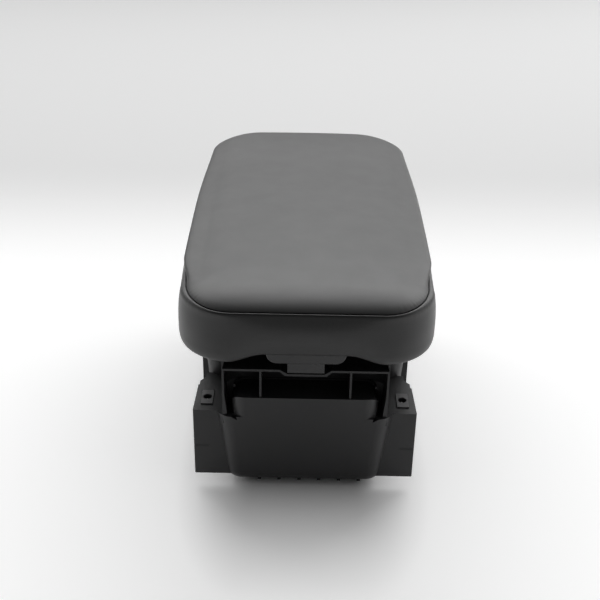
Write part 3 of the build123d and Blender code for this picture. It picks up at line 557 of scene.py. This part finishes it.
@dataclass
class LidPlan:
    """Plan of the lid: a rounded rectangle with slightly bowed sides, which can be drawn in by an inset."""

    width: float = 0.1822
    length: float = 0.348
    corner_front: float = 0.0395
    corner_rear: float = 0.047
    bow: float = 0.0263
    bow_lean: float = 0.15
    least_corner: float = 0.0004
    side_points: int = 84
    end_points: int = 72
    corner_points: int = 60
    least_points: int = 6

    def path(self, scale: float = 1.0) -> Outline:
        """Outline in units: a place between the corner centres and the outward direction at each point.

        Args:
            scale: Share of the full number of points.

        Returns:
            Places with both numbers from minus one to one, and unit directions.
        """
        counts = (self.end_points, self.side_points, self.corner_points)
        ends, flanks, arcs = (max(self.least_points, int(count * scale)) for count in counts)
        places, directions = [], []
        corners = ((1.0, -1.0), (1.0, 1.0), (-1.0, 1.0), (-1.0, -1.0))
        for index, corner in enumerate(corners):
            turn = np.linspace(0.0, 0.5, arcs, endpoint=False) * math.pi + (index - 1) * math.pi / 2.0
            places.append(np.tile(corner, (arcs, 1)))
            directions.append(np.stack((np.cos(turn), np.sin(turn)), axis=-1))
            count = flanks if index % 2 == 0 else ends
            run = np.linspace(0.0, 1.0, count, endpoint=False)[:, None]
            places.append((1.0 - run) * np.array(corner) + run * np.array(corners[(index + 1) % 4]))
            facing = index * math.pi / 2.0
            directions.append(np.tile((math.cos(facing), math.sin(facing)), (count, 1)))
        return np.concatenate(places), np.concatenate(directions)

    def at(self, inset: np.ndarray, path: Outline) -> np.ndarray:
        """Outline drawn in by an inset: corner centres times the place, plus the radius outwards.

        Args:
            inset: Inset of each point, rows by points.
            path: Outline in units.

        Returns:
            X and Y of each point.
        """
        places, directions = path
        half_width, half_length = self.width / 2.0 - inset, self.length / 2.0 - inset
        corner = self.corner_front + (self.corner_rear - self.corner_front) * (places[:, 1] + 1.0) / 2.0
        radius = np.minimum(np.maximum(corner - inset, self.least_corner), half_width)
        x = places[:, 0] * (half_width - radius) + directions[:, 0] * radius
        y = places[:, 1] * (half_length - radius) + directions[:, 1] * radius
        return np.stack((x * self.bowed(y), y), axis=-1)

    def bowed(self, y: np.ndarray) -> np.ndarray:
        """Share of the full width at a place along the lid: one less a parabola about its widest place."""
        return 1.0 - self.bow * (2.0 * y / self.length - self.bow_lean) ** 2

    def inset(self, x: np.ndarray, y: np.ndarray) -> np.ndarray:
        """Distance inside the outline: corner radius less the distance from the corner centres' frame.

        Args:
            x: X of each point.
            y: Y of each point.

        Returns:
            Distance inside, below nought outside.
        """
        corner = np.where(y < 0.0, self.corner_front, self.corner_rear)
        across = np.abs(x) / self.bowed(y) - (self.width / 2.0 - corner)
        along = np.abs(y) - (self.length / 2.0 - corner)
        beyond = np.hypot(np.maximum(across, 0.0), np.maximum(along, 0.0))
        return corner - beyond - np.minimum(np.maximum(across, along), 0.0)


@dataclass(frozen=True)
class Swelling:
    """Leather blown up by the foam: Blender's cloth with pressure inside and no gravity."""

    pressure: float = 4.0
    frames: int = 20
    stiffness: float = 40.0
    bending: float = 2.0
    quality: int = 8

    def run(self, name: str, points: np.ndarray, quads: np.ndarray, pinned: np.ndarray) -> np.ndarray:
        """Simulates a skin, and removes it.

        Args:
            name: Name of the skin.
            points: Grid of points at the start.
            quads: Four vertex indices for each face.
            pinned: True for each point that stays in place.

        Returns:
            The grid of points after the last step.
        """
        skin = mesh_from_grid(name, points, quads)
        group = skin.vertex_groups.new(name="sewn")
        group.add(np.flatnonzero(pinned).tolist(), 1.0, "REPLACE")
        cloth = skin.modifiers.new("swelling", "CLOTH")
        hide = cloth.settings
        hide.vertex_group_mass = "sewn"
        hide.use_pressure = True
        hide.uniform_pressure_force = self.pressure
        hide.effector_weights.gravity = 0.0
        hide.tension_stiffness = self.stiffness
        hide.compression_stiffness = self.stiffness
        hide.bending_stiffness = self.bending
        hide.quality = self.quality
        cloth.point_cache.frame_start = 1
        cloth.point_cache.frame_end = self.frames
        scene = bpy.context.scene
        for step in range(1, self.frames + 1):
            scene.frame_set(step)
        solved = skin.evaluated_get(bpy.context.evaluated_depsgraph_get())
        flat = np.empty(len(solved.data.vertices) * 3)
        solved.data.vertices.foreach_get("co", flat)
        mesh = skin.data
        bpy.data.objects.remove(skin)
        bpy.data.meshes.remove(mesh)
        scene.frame_set(1)
        return flat.reshape(points.shape)


@dataclass(frozen=True)
class SewnRelief:
    """Small relief of the cover: puckers across the seam, mostly at the corners, and slow unevenness."""

    pucker: float = 0.00007
    pucker_waves: Triple = (131.0, 17.0, 23.0)
    pucker_sway: float = 2.0
    pucker_beat: Pair = (0.35, 0.65)
    pucker_bend: Pair = (0.12, 0.88)
    pucker_panel: float = 0.055
    pucker_band: Pair = (2.05, 0.16)
    band_start: float = 1.6
    band_share: float = 0.8
    unevenness: float = 0.00005
    broad_waves: Pair = (31.0, 23.0)
    broad_phases: Pair = (1.3, 0.4)
    slant_waves: Triple = (67.0, -41.0, 30.0)
    slant_phase: float = 2.0
    slant_share: float = 0.6
    panel_fade: Pair = (0.97, 0.1)
    band_ends: Pair = (2.1, 3.5)
    band_fade: float = 0.3

    def puckers(self, rows: np.ndarray, path: Outline) -> np.ndarray:
        """Waves along the seam, swaying and beating, which die away from it by a bell curve on both sides.

        Args:
            rows: Parameter of each ring.
            path: Outline in units.

        Returns:
            Movement along the normal at each grid point.
        """
        count = len(path[0])
        along = np.arange(count) / count * 2.0 * math.pi
        bent = np.minimum(np.abs(path[1][:, 0]), np.abs(path[1][:, 1])) / math.sqrt(0.5)
        stitch, drift, beat = self.pucker_waves
        wave = np.sin(along * stitch + self.pucker_sway * np.sin(along * drift))
        wave = wave * (self.pucker_beat[0] + self.pucker_beat[1] * np.sin(along * beat + 1.0) ** 2)
        inside = np.exp(-(((Ring.SEAM - rows) / self.pucker_panel) ** 2)) * (rows < Ring.SEAM)
        middle, spread = self.pucker_band
        outside = np.exp(-(((rows - middle) / spread) ** 2)) * (rows > self.band_start)
        near = (inside + self.band_share * outside)[:, None]
        return self.pucker * near * (wave * (self.pucker_bend[0] + self.pucker_bend[1] * bent))[None, :]

    def uneven(self, rows: np.ndarray, points: np.ndarray) -> np.ndarray:
        """Slow unevenness of panel and band: a wave across times one along, and a slanting wave.

        Args:
            rows: Parameter of each ring.
            points: Grid of points.

        Returns:
            Movement along the normal at each grid point.
        """
        x, y, z = (points[..., axis] for axis in range(3))
        waves = zip((x, y), self.broad_waves, self.broad_phases)
        across, along = (np.sin(wave * place + phase) for place, wave, phase in waves)
        first, second, third = self.slant_waves
        slanted = np.sin(first * x + second * y + self.slant_phase + third * z)
        slow = across * along + self.slant_share * slanted
        edge, fade = self.panel_fade
        start, end = self.band_ends
        band = smooth_step((rows - start) / self.band_fade) * smooth_step((end - rows) / self.band_fade)
        return self.unevenness * slow * (smooth_step((edge - rows) / fade) + band)[:, None]


@dataclass
class LidCushion:
    """Padded lid: crowned top panel, seam crease with a rolled edge, bulged band and a hem tucked under."""

    plan: LidPlan = field(default_factory=LidPlan)
    swelling: Swelling = Swelling()
    sewn: SewnRelief = SewnRelief()
    bottom: float = 0.1145
    widest: float = 0.1350
    seam: float = 0.1545
    crown: float = 0.1630
    seam_inset: float = 0.0046
    seam_side: float = 0.0004
    seam_corner: float = 0.0010
    seam_fore: float = 0.0025
    seam_front: float = -0.0014
    seam_rear: float = -0.0006
    seam_drop: float = 0.0040
    drop_reach: float = 0.0070
    overhang: float = 0.0062
    overhang_rear: float = 0.40
    overhang_reach: float = 0.0120
    side_ends: Pair = (0.030, 0.082)
    overhang_ends: Pair = (0.18, 0.34)
    roll_front: float = 0.027
    roll_rear: float = 0.012
    rear_start: float = 0.7
    rear_reach: float = 0.3
    rear_rise: float = 0.0020
    curl: float = 0.0012
    curl_reach: float = 0.0025
    tuck_inset: float = 0.010
    skin: float = 0.0016
    inner_gap: float = 0.0006
    band_blend: float = 0.7
    ring_blend: float = 0.3
    arch_foot: float = 0.053
    arch_head: float = 0.028
    arch_rise: float = 0.0075
    arch_tuck: float = 0.0062
    arch_hem: float = 0.0072
    arch_facing: float = -0.9
    swell_top: float = 0.0025
    swell_band: float = 0.0012
    swell_cap: float = 0.012
    panel_grid: tuple[int, int] = (33, 63)
    panel_passes: int = 4
    dome_power: int = 6
    lift_fade: float = 0.08
    band_rings: int = 18
    band_points: float = 0.32
    band_held: Pair = (2.05, 3.5)
    band_passes: int = 6
    least_push: float = 1e-6
    # Section from the seam out, down the band, under and up inside: ring, inset and height of each knot
    section: tuple[Triple, ...] = (
        (1.00, 0.0046, 0.1545), (1.25, 0.0053, 0.1533), (1.45, 0.0050, 0.1530), (1.65, 0.0041, 0.1539),
        (1.85, 0.0030, 0.1541), (2.00, 0.0023, 0.1532), (2.20, 0.0018, 0.1492), (2.45, 0.0008, 0.1430),
        (2.70, 0.0001, 0.1350), (2.95, 0.0, 0.1270), (3.15, 0.0003, 0.1210), (3.32, 0.0018, 0.1170),
        (3.46, 0.0048, 0.1150), (3.60, 0.0100, 0.1145), (4.00, 0.0220, 0.1145), (4.10, 0.0222, 0.1153),
        (4.20, 0.0220, 0.1161), (4.35, 0.0105, 0.1161), (4.50, 0.0050, 0.1176), (4.65, 0.0022, 0.1220),
        (4.80, 0.0016, 0.1350), (4.90, 0.0031, 0.1450), (5.00, 0.0068, 0.1515),
    )

    def top(self, depth: np.ndarray, flat: np.ndarray) -> np.ndarray:
        """Height of the slack top panel: level, brought down to the seam by a parabola and a short curl.

        In the rear third the parabola shrinks in width, and grows in height by a share that falls off with
        the square of the distance from the middle. The curl is an exponential that dies away from the seam.

        Args:
            depth: Distance of each point inside the seam.
            flat: X and Y of each point.

        Returns:
            Height of each point.
        """
        rear = smooth_step((flat[..., 1] / self.plan.length + 0.5 - self.rear_start) / self.rear_reach)
        middle = 1.0 - (2.0 * flat[..., 0] / self.plan.width) ** 2
        share = np.clip(depth / (self.roll_front + (self.roll_rear - self.roll_front) * rear), 0.0, 1.0)
        curled = self.curl * (1.0 - np.exp(-np.maximum(depth, 0.0) / self.curl_reach))
        rise = 1.0 - (1.0 - share) ** 2
        height = self.crown - self.swell_top - self.seam - self.curl + self.rear_rise * rear * middle
        return self.seam + curled + height * rise

    def arch(self, path: Outline) -> np.ndarray:
        """Share of the latch arch round the outline: a smooth step from its foot to its head, in front."""
        flat = self.plan.at(np.zeros(len(path[0])), path)
        share = smooth_step((self.arch_foot - np.abs(flat[:, 0])) / (self.arch_foot - self.arch_head))
        return np.where(path[1][:, 1] < self.arch_facing, share, 0.0)

    def seam_shift(self, path: Outline) -> np.ndarray:
        """How much further in the seam lies round the outline.

        Side, front and rear shares go by the square of the direction. The front corners add a share that is
        greatest towards the sides: the square of the direction across times the direction forwards, brought
        to one at its top.

        Args:
            path: Outline in units.

        Returns:
            Further inset at each point.
        """
        across, along = path[1][:, 0] ** 2, path[1][:, 1]
        ends = np.where(along < 0.0, self.seam_front, self.seam_rear) * along**2
        corners = self.seam_corner * CORNER_TOP * across * np.maximum(-along, 0.0)
        return self.seam_side * across + ends + corners

    def side_shares(self, path: Outline) -> Outline:
        """Shares of the sides and of their front ends round the outline, parted by a smooth step along it.

        The sides go by the sixth power of the direction across, and their front ends by its square.

        Args:
            path: Outline in units.

        Returns:
            Share of the sides, and of their front ends, at each point.
        """
        start, full = self.side_ends
        behind = self.plan.at(np.zeros(len(path[0])), path)[:, 1] + self.plan.length / 2.0
        step = smooth_step((behind - start) / (full - start))
        return step * path[1][:, 0] ** 6, (1.0 - step) * path[1][:, 0] ** 2

    def rolled(self, depth: np.ndarray, side: np.ndarray) -> np.ndarray:
        """Fall of the panel's edge to the sides' lower seam: a quarter ellipse over the drop's reach."""
        share = np.clip(depth / self.drop_reach, 0.0, 1.0)
        return self.seam_drop * side * (1.0 - np.sqrt(1.0 - (1.0 - share) ** 2))

    def surface(self, rows: np.ndarray, path: Outline) -> np.ndarray:
        """Skin of the cushion: the section carried round the outline.

        Rings up to the seam run over the top panel, then down the outside and under the hem, and on to the
        last one back over the inside. The arch lifts what lies below the widest line and shortens the hem.
        Along the sides the seam lies lower, and the panel's edge hangs over it by a hump: the share of the
        reach times the square of what is left of it, brought to one at its top. The hump shrinks towards
        the rear by a smooth step.

        Args:
            rows: Parameter of each ring.
            path: Outline in units.

        Returns:
            Points, rows by outline by three.
        """
        knots, insets, heights = np.array(self.section).T
        half = self.plan.width / 2.0
        ring = rows[:, None]
        over, inside = ring < Ring.SEAM, ring > Ring.INSIDE
        side, fore = (share[None, :] for share in self.side_shares(path))
        fore = self.seam_fore * fore
        shift = self.seam_shift(path)[None, :]
        above = 1.0 - smooth_step((ring - Ring.BEAD) / self.band_blend)
        inset = smooth_track(knots, insets, rows)[:, None] + shift * above
        inset = inset + fore * (1.0 - smooth_step((ring - Ring.FORE) / self.ring_blend))
        shift = (shift + fore) * np.where(over, smooth_step((ring - Ring.PANEL) / self.ring_blend), 1.0)
        lowered = np.where(ring < Ring.UNDER, above, smooth_step((ring - Ring.INNER) / self.ring_blend))
        height = smooth_track(knots, heights, rows)[:, None] - self.seam_drop * side * lowered
        inset = np.where(over, half - (half - self.seam_inset - shift) * ring, inset)
        inset = np.where(inside, insets[-1] + (half - insets[-1]) * (ring - Ring.INSIDE), inset)
        share = self.arch(path)[None, :]
        below = (height < self.widest) & (ring > Ring.BEAD)
        lift = 1.0 - share * self.arch_rise / (self.widest - self.bottom)
        height = np.where(below, self.widest - (self.widest - height) * lift, height)
        held = np.where(inset > self.tuck_inset, self.arch_hem, inset * self.arch_tuck / self.tuck_inset)
        inset = np.where(below, inset + (np.minimum(inset, held) - inset) * share, inset)
        depth = np.where(over, inset - self.seam_inset - shift, inset - insets[-1] - shift)
        part = np.clip(depth / self.overhang_reach, 0.0, 1.0)
        start, full = self.overhang_ends
        behind = self.plan.at(inset, path)[..., 1] + self.plan.length / 2.0
        kept = 1.0 + (self.overhang_rear - 1.0) * smooth_step((behind - start) / (full - start))
        hump = self.overhang * kept * side * HUMP_TOP * part * (1.0 - part) ** 2
        flat = self.plan.at(np.where(over, inset - hump, inset), path)
        panel = self.top(depth, flat) - self.rolled(depth, side)
        height = np.where(over, panel, height)
        height = np.where(inside, panel - self.skin - self.inner_gap, height)
        return np.concatenate((flat, height[..., None]), axis=-1)

    def normals(self, points: np.ndarray) -> np.ndarray:
        """Outward unit direction at each grid point: the cross product of the two grid differences.

        Args:
            points: Grid of points, rings by outline by three.

        Returns:
            Unit directions.
        """
        down = np.gradient(points, axis=0)
        along = (np.roll(points, -1, axis=1) - np.roll(points, 1, axis=1)) / 2.0
        cross = np.cross(down, along)
        length = np.linalg.norm(cross, axis=-1, keepdims=True)
        return np.where(length > NO_AREA, cross / np.maximum(length, NO_AREA), (0.0, 0.0, 1.0))

    def panel_lift(self, flat: np.ndarray) -> np.ndarray:
        """Lift of the top panel under the foam's pressure, from a cloth simulation held along the seam.

        The slack panel is simulated on a square grid. Its lift is capped, evened out with its neighbours,
        scaled so that the highest point reaches the crown, and read between the grid's points.

        Args:
            flat: X and Y to read the lift at.

        Returns:
            Lift of each point.
        """
        wide, long = self.plan.width / 2.0, self.plan.length / 2.0
        rows, columns = self.panel_grid
        across, along = np.linspace(-wide, wide, rows), np.linspace(-long, long, columns)
        x, y = np.meshgrid(across, along, indexing="ij")
        depth = self.plan.inset(x, y) - self.seam_inset
        start = np.stack((x, y, self.top(depth, np.stack((x, y), axis=-1))), axis=-1)
        quads = grid_quads(rows, columns)
        quads = quads[np.any(depth.ravel()[quads] > 0.0, axis=1)]
        moved = self.swelling.run("slack_panel", start, quads, depth.ravel() < self.curl_reach)
        lift = np.clip(moved[..., 2] - start[..., 2], 0.0, self.swell_cap)
        LOG.info("panel lift before scaling: %.4f", lift.max())
        lift = evened(lift, self.panel_passes, 0, 1)
        row, column = (
            (flat[..., axis] - line[0]) / (line[1] - line[0]) for axis, line in enumerate((across, along))
        )
        return read_between(lift * self.swell_top / lift.max(), row, column)

    def band_swell(self, rows: np.ndarray, count: int) -> np.ndarray:
        """Swelling of the band, from a cloth simulation held at the bead and at the hem.

        The slack band lies inside the full one by an arched share of the swell. Its movement along the
        normal is capped, evened out along the outline, scaled so that it fills the full form on the whole,
        and read between the points of the coarse grid, whose outline is closed.

        Args:
            rows: Parameter of each fine ring.
            count: Points on each fine ring.

        Returns:
            Movement along the normal at each fine grid point, nought off the band.
        """
        coarse = np.linspace(Ring.BEAD, Ring.HEM, self.band_rings)
        path = self.plan.path(self.band_points)
        around = len(path[0])
        full = self.surface(coarse, path)
        outward = self.normals(full)
        dip = self.swell_band * np.sin(math.pi * (coarse - Ring.BEAD) / (Ring.HEM - Ring.BEAD))[:, None]
        start = full - outward * dip[..., None]
        quads = grid_quads(len(coarse), around, closed=True)[:, ::-1]
        held = np.repeat((coarse < self.band_held[0]) | (coarse > self.band_held[1]), around)
        moved = self.swelling.run("slack_band", start, quads, held)
        push = np.clip(np.sum((moved - start) * outward, axis=-1), 0.0, self.swell_cap)
        LOG.info("band swell before scaling: %.4f", push.max())
        push = evened(push, self.band_passes, 1)
        push = push * self.swell_band / np.maximum(push.max(axis=0).mean(), self.least_push) - dip
        row = np.interp(rows, coarse, np.arange(len(coarse)))[:, None]
        column = (np.arange(count) / count * around)[None, :]
        swell = read_between(np.concatenate((push, push[:, :1]), axis=1), row, column)
        return np.where(((rows > Ring.BEAD) & (rows < Ring.HEM))[:, None], swell, 0.0)

    def build(self) -> bpy.types.Object:
        """Builds the closed leather skin.

        Returns:
            The cushion's object.
        """
        spans = (
            (Ring.TOP, Ring.PANEL, 16, Grade.EVEN),
            (Ring.PANEL, Ring.SEAM, 34, Grade.CROWDED_LATE),
            (Ring.SEAM, Ring.BEAD, 17, Grade.EVEN),
            (Ring.BEAD, Ring.HEM, 34, Grade.EVEN),
            (Ring.HEM, Ring.TURNED, 9, Grade.EVEN),
            (Ring.TURNED, Ring.INSIDE, 10, Grade.EVEN),
            (Ring.INSIDE, Ring.LAST, 10, Grade.EVEN),
        )
        rows = np.concatenate([spaced(*span)[:-1] for span in spans] + [[Ring.LAST]])
        path = self.plan.path()
        points = self.surface(rows, path)
        outward = self.normals(points)
        shift = self.sewn.puckers(rows, path) + self.sewn.uneven(rows, points)
        shift = shift * (rows < Ring.HEM)[:, None]
        shift = shift + self.band_swell(rows, len(path[0]))
        fade = smooth_step((Ring.SEAM - rows) / self.lift_fade)[:, None]
        points[..., 2] += self.panel_lift(points[..., :2]) * fade
        points = points + outward * shift[..., None]
        points[0, :, 0] = 0.0
        quads = grid_quads(*points.shape[:2], closed=True)
        return mesh_from_grid("lid_cushion", points, quads, closed=True)


@dataclass
class LidFoam:
    """Foam pad under the leather: a cap over the base tray, with the latch arch cut out of its front."""

    cushion: LidCushion = field(default_factory=LidCushion)
    under_skin: float = 0.0021
    foot: float = 0.1171
    wall: tuple[Pair, ...] = ((0.0090, 0.1475), (0.0062, 0.143), (0.0042, 0.135), (0.0044, 0.125))
    foot_inset: float = 0.0090
    tray_inset: float = 0.0123
    tray_top: float = 0.1368
    bevel: float = 0.001
    ceiling_start: float = 0.004
    arch_margin: float = 0.0028
    outline_share: float = 0.5
    roof_rings: int = 26
    ceiling_rings: int = 12

    def build(self) -> bpy.types.Object:
        """Builds the closed pad: the cushion's form drawn in under the skin, then round the tray.

        Returns:
            The pad's object.
        """
        cushion, tray = self.cushion, self.tray_inset
        path = cushion.plan.path(self.outline_share)
        half = cushion.plan.width / 2.0
        roof = np.linspace(half, cushion.seam_inset + 2.0 * self.under_skin, self.roof_rings)
        sides = np.array(
            (
                *self.wall,
                (self.foot_inset, self.foot),
                (tray - self.bevel, self.foot),
                (tray, self.foot + self.bevel),
                (tray, self.tray_top - self.bevel),
                (tray + self.bevel, self.tray_top),
            )
        )
        ceiling = np.linspace(tray + self.ceiling_start, half, self.ceiling_rings)
        inset = np.concatenate((roof, sides[:, 0], ceiling))[:, None]
        height = np.concatenate((np.zeros_like(roof), sides[:, 1], np.full_like(ceiling, self.tray_top)))
        flat = cushion.plan.at(inset, path)
        over = (np.arange(len(inset)) < len(roof))[:, None]
        depth = inset - self.under_skin - cushion.seam_inset
        height = np.where(over, cushion.top(depth, flat) - 2.0 * self.under_skin, height[:, None])
        cut = cushion.bottom + cushion.arch_rise + self.arch_margin
        height = np.maximum(height, self.foot + (cut - self.foot) * cushion.arch(path)[None, :])
        points = np.concatenate((flat, height[..., None]), axis=-1)
        points[[0, -1], :, 0] = 0.0
        quads = grid_quads(*points.shape[:2], closed=True)
        return mesh_from_grid("lid_foam", points, quads, closed=True)


@dataclass
class Lid:
    """Lid: leather cushion and foam over the base tray, with its liner and screws."""

    cushion: LidCushion = field(default_factory=LidCushion)
    leather: Leather = Leather()
    foam: OpenFoam = OpenFoam()
    base: MouldedPlastic = MouldedPlastic("tray_plastic", (0.03, 0.03, 0.032), (0.45, 0.55))
    liner: MouldedPlastic = MouldedPlastic(
        "liner_plastic", (0.025, 0.025, 0.027), (0.42, 0.52), grain=1100.0
    )
    screws: Steel = Steel("dark_zinc", (0.3, 0.3, 0.31), (0.35, 0.45), along=(300.0, 300.0, 300.0))

    def build(self, effects: Effects) -> list[str]:
        """Builds the soft pieces and dresses the hard ones.

        Args:
            effects: Shared shader groups.

        Returns:
            Names of the pieces.
        """
        skin = self.cushion.build()
        skin.data.materials.append(self.leather.material(effects))
        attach(skin, Body.LID.value)
        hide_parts("leather_cover")
        pad = LidFoam(self.cushion).build()
        pad.data.materials.append(self.foam.material(effects))
        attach(pad, Body.LID.value)
        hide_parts("foam_pad")
        return [
            skin.name,
            pad.name,
            *dress(self.base, effects, "lid_base"),
            *dress(self.liner, effects, "lid_liner"),
            *dress(self.screws, effects, "liner_screws", "bezel_screws", "leaf_screws"),
        ]


# Latch, hinge and bin


@dataclass
class Latch:
    """Latch: bezel, paddle with its hook, pin and return spring."""

    satin: MouldedPlastic = MouldedPlastic(
        "satin_plastic", (0.018, 0.018, 0.019), (0.26, 0.36), relief=0.00002
    )
    pin: Steel = Steel("ground_pin", (0.55, 0.55, 0.56))
    spring: Steel = Steel("spring_wire", (0.4, 0.4, 0.41), (0.3, 0.42), along=(500.0, 500.0, 500.0))

    def build(self, effects: Effects) -> list[str]:
        """Dresses the latch, the hinge pin and its clips, which share its steels."""
        return [
            *dress(self.satin, effects, "latch_bezel", "latch_paddle"),
            *dress(self.pin, effects, "latch_pin", "hinge_pin"),
            *dress(self.spring, effects, "latch_spring", "pin_clips"),
        ]


@dataclass
class Hinge:
    """Hinge: two coated leaves with plain bushes."""

    leaf: Steel = Steel(
        "coated_leaf", (0.04, 0.04, 0.042), (0.35, 0.5), metallic=0.3, along=(200.0, 200.0, 200.0)
    )
    bush: MouldedPlastic = MouldedPlastic("bush_plastic", (0.75, 0.74, 0.7), (0.35, 0.45), dust=0.05)

    def build(self, effects: Effects) -> list[str]:
        """Dresses the leaves and bushes."""
        return [
            *dress(self.leaf, effects, "hinge_leaf_left", "hinge_leaf_right"),
            *dress(self.bush, effects, "hinge_bush_left", "hinge_bush_right"),
        ]


@dataclass
class StorageBin:
    """Storage bin: one moulding, with its rubber buffers and spring nuts."""

    shell: MouldedPlastic = MouldedPlastic(
        "bin_plastic", (0.032, 0.032, 0.033), (0.34, 0.44), dust=0.12, specular=0.35
    )
    rubber: MouldedPlastic = MouldedPlastic("buffer_rubber", (0.02, 0.02, 0.02), (0.65, 0.78), grain=800.0)
    nut: Steel = Steel(
        "phosphated_nut", (0.12, 0.12, 0.122), (0.4, 0.55), metallic=0.5, along=(250.0, 250.0, 250.0)
    )

    def build(self, effects: Effects) -> list[str]:
        """Dresses the bin, its buffers and its nuts."""
        return [
            *dress(self.shell, effects, "storage_bin"),
            *dress(self.rubber, effects, "rubber_buffers"),
            *dress(self.nut, effects, "spring_nut_left", "spring_nut_right"),
        ]


# The studio


@dataclass(frozen=True)
class Panel:
    """Upright soft light panel: power, width and height, place, and turn from facing the back."""

    name: str
    power: float
    size: Pair
    place: Triple
    turn: float

    def build(self) -> None:
        """Sets up the panel, unseen by the camera."""
        lamp = bpy.data.lights.new(self.name, "AREA")
        lamp.shape = "RECTANGLE"
        lamp.size, lamp.size_y = self.size
        lamp.energy = self.power
        made = bpy.data.objects.new(self.name, lamp)
        made.location = self.place
        made.rotation_euler = (math.radians(90.0), 0.0, math.radians(self.turn))
        made.visible_camera = False
        bpy.context.scene.collection.objects.link(made)


@dataclass
class Studio:
    """Pale floor, a large light panel behind, two small ones, a dimmer surround and the camera."""

    floor_half: float = 8.0
    floor_points: int = 9
    floor_height: float = -0.0002
    floor_roughness: float = 0.9
    floor_specular: float = 0.1
    floor_tone: float = 0.90
    # Dark floor colour in front of the bin: painted shade
    front_shade_tone: float = 0.16
    front_ends: Pair = (-0.75, -0.3)
    floor_lift: float = 0.39
    shade_half: float = 0.036
    shade_front: float = -0.14
    shade_reach: Pair = (0.004, 0.058)
    shade_stretch: float = 0.45
    lift_ends: Pair = (0.1, 0.5)
    panels: tuple[Panel, ...] = (
        Panel("back_panel", 98.0, (5.0, 1.6), (0.25, 2.2, 2.145), 180.0),
        Panel("right_panel", 3.0, (1.2, 0.7), (1.35, 1.8, 0.65), 143.0),
        Panel("front_fill", 0.6, (1.2, 0.4), (0.0, -1.35, 0.25), 0.0),
    )
    back: float = 0.92
    front: float = 0.06
    back_reach: Pair = (-0.75, 0.0)
    tilt: float = 0.1
    tilt_reach: Pair = (-1.0, 1.0)
    overhead: float = -0.5
    overhead_reach: Pair = (0.45, 0.95)
    lens: float = 60.0
    sensor: float = 36.0
    pitch: float = 61.6
    roll: float = 1.1
    place: Triple = (-0.0049, -0.7330, 0.468)

    def floor(self) -> None:
        """Flat floor under the bin's ribs, with a painted glow for the eye and mirrors, but not in the
        shade.

        The painted glow grows with the distance from the bin's foot up to its reach, and dies away at the
        back and in front by smooth steps. In front of the picture the floor's colour falls off in the same
        way, to a painted shade that the fronts of the lid and bin mirror.
        """
        reach = np.linspace(-self.floor_half, self.floor_half, self.floor_points)
        x, y = np.meshgrid(reach, reach, indexing="ij")
        points = np.stack((x, y, np.full_like(x, self.floor_height)), axis=-1)
        sheet = mesh_from_grid("studio_floor", points, grid_quads(*x.shape))
        made, bench, place = new_material("studio_paper")
        split = bench.node("SeparateXYZ", {"Vector": place}).outputs
        beside = bench.math("SUBTRACT", bench.math("ABSOLUTE", split["X"]), self.shade_half)
        ahead = bench.math("MINIMUM", bench.math("SUBTRACT", split["Y"], self.shade_front), 0.0)
        stretched = bench.math("MULTIPLY", ahead, self.shade_stretch)
        away = bench.node("CombineXYZ", {"X": bench.math("MAXIMUM", beside, 0.0), "Y": stretched})
        distance = bench.node("VectorMath", {0: away.outputs["Vector"]}, operation="LENGTH")
        lift = bench.ramp(distance.outputs["Value"], self.shade_reach, (0.0, self.floor_lift))
        for reach, ends in ((self.front_ends, (0.0, 1.0)), (self.lift_ends, (1.0, 0.0))):
            lift = bench.math("MULTIPLY", lift, bench.ramp(split["Y"], reach, ends, Slope.SMOOTH))
        rays = bench.node("LightPath").outputs
        seen = bench.math("ADD", rays["Is Camera Ray"], rays["Is Glossy Ray"], clamp=True)
        seen = bench.math("ADD", seen, rays["Is Transmission Ray"], clamp=True)
        # Painted shade: the floor's colour falls to a dark tone in front of the bin
        tones = (self.front_shade_tone, self.floor_tone)
        look = {
            "Base Color": bench.ramp(split["Y"], self.front_ends, tones, Slope.SMOOTH),
            "Roughness": self.floor_roughness,
            "Specular IOR Level": self.floor_specular,
            # Painted glow: emission lifts the floor's white for the camera and in mirrors, outside the shade
            "Emission Color": (1.0, 1.0, 1.0),
            "Emission Strength": bench.math("MULTIPLY", seen, lift),
        }
        bench.shade(look)
        sheet.data.materials.append(made)

    def surround(self) -> None:
        """Soft surround: brighter at the back, a little brighter on the right, and dimmer overhead."""
        world = bpy.data.worlds.new("studio")
        bpy.context.scene.world = world
        world.use_nodes = True
        world.node_tree.nodes.clear()
        bench = Bench(world.node_tree)
        way = bench.node("TexCoord").outputs["Generated"]
        split = bench.node("SeparateXYZ", {"Vector": way}).outputs
        back = bench.ramp(split["Y"], self.back_reach, (self.front, self.back))
        tilted = bench.ramp(split["X"], self.tilt_reach, (-self.tilt, self.tilt))
        above = bench.ramp(split["Z"], self.overhead_reach, (0.0, self.overhead))
        strength = bench.math("ADD", bench.math("ADD", back, tilted), above, clamp=True)
        light = bench.node("Background", {"Strength": strength})
        bench.node("OutputWorld", {"Surface": light.outputs["Background"]})

    def camera(self) -> None:
        """Camera in front of the latch end, looking down on the lid."""
        data = bpy.data.cameras.new("camera")
        data.lens = self.lens
        data.sensor_width = self.sensor
        made = bpy.data.objects.new("camera", data)
        pitch = Matrix.Rotation(math.radians(self.pitch), 4, "X")
        roll = Matrix.Rotation(math.radians(self.roll), 4, "Z")
        made.matrix_world = Matrix.Translation(self.place) @ (pitch @ roll)
        bpy.context.scene.collection.objects.link(made)
        bpy.context.scene.camera = made

    def build(self) -> None:
        """Sets up floor, light, camera and the plain view transform."""
        self.floor()
        for panel in self.panels:
            panel.build()
        self.surround()
        self.camera()
        bpy.context.scene.view_settings.view_transform = "Standard"


def main() -> None:
    """Builds the assemblies in order, logging their pieces, then the studio."""
    logging.basicConfig(level=logging.INFO, format="%(name)s: %(message)s")
    effects = Effects()
    for assembly in (Lid(), Latch(), Hinge(), StorageBin()):
        for piece in assembly.build(effects):
            LOG.info("%s: %s", type(assembly).__name__, piece)
    Studio().build()


if __name__ == "__main__":
    main()
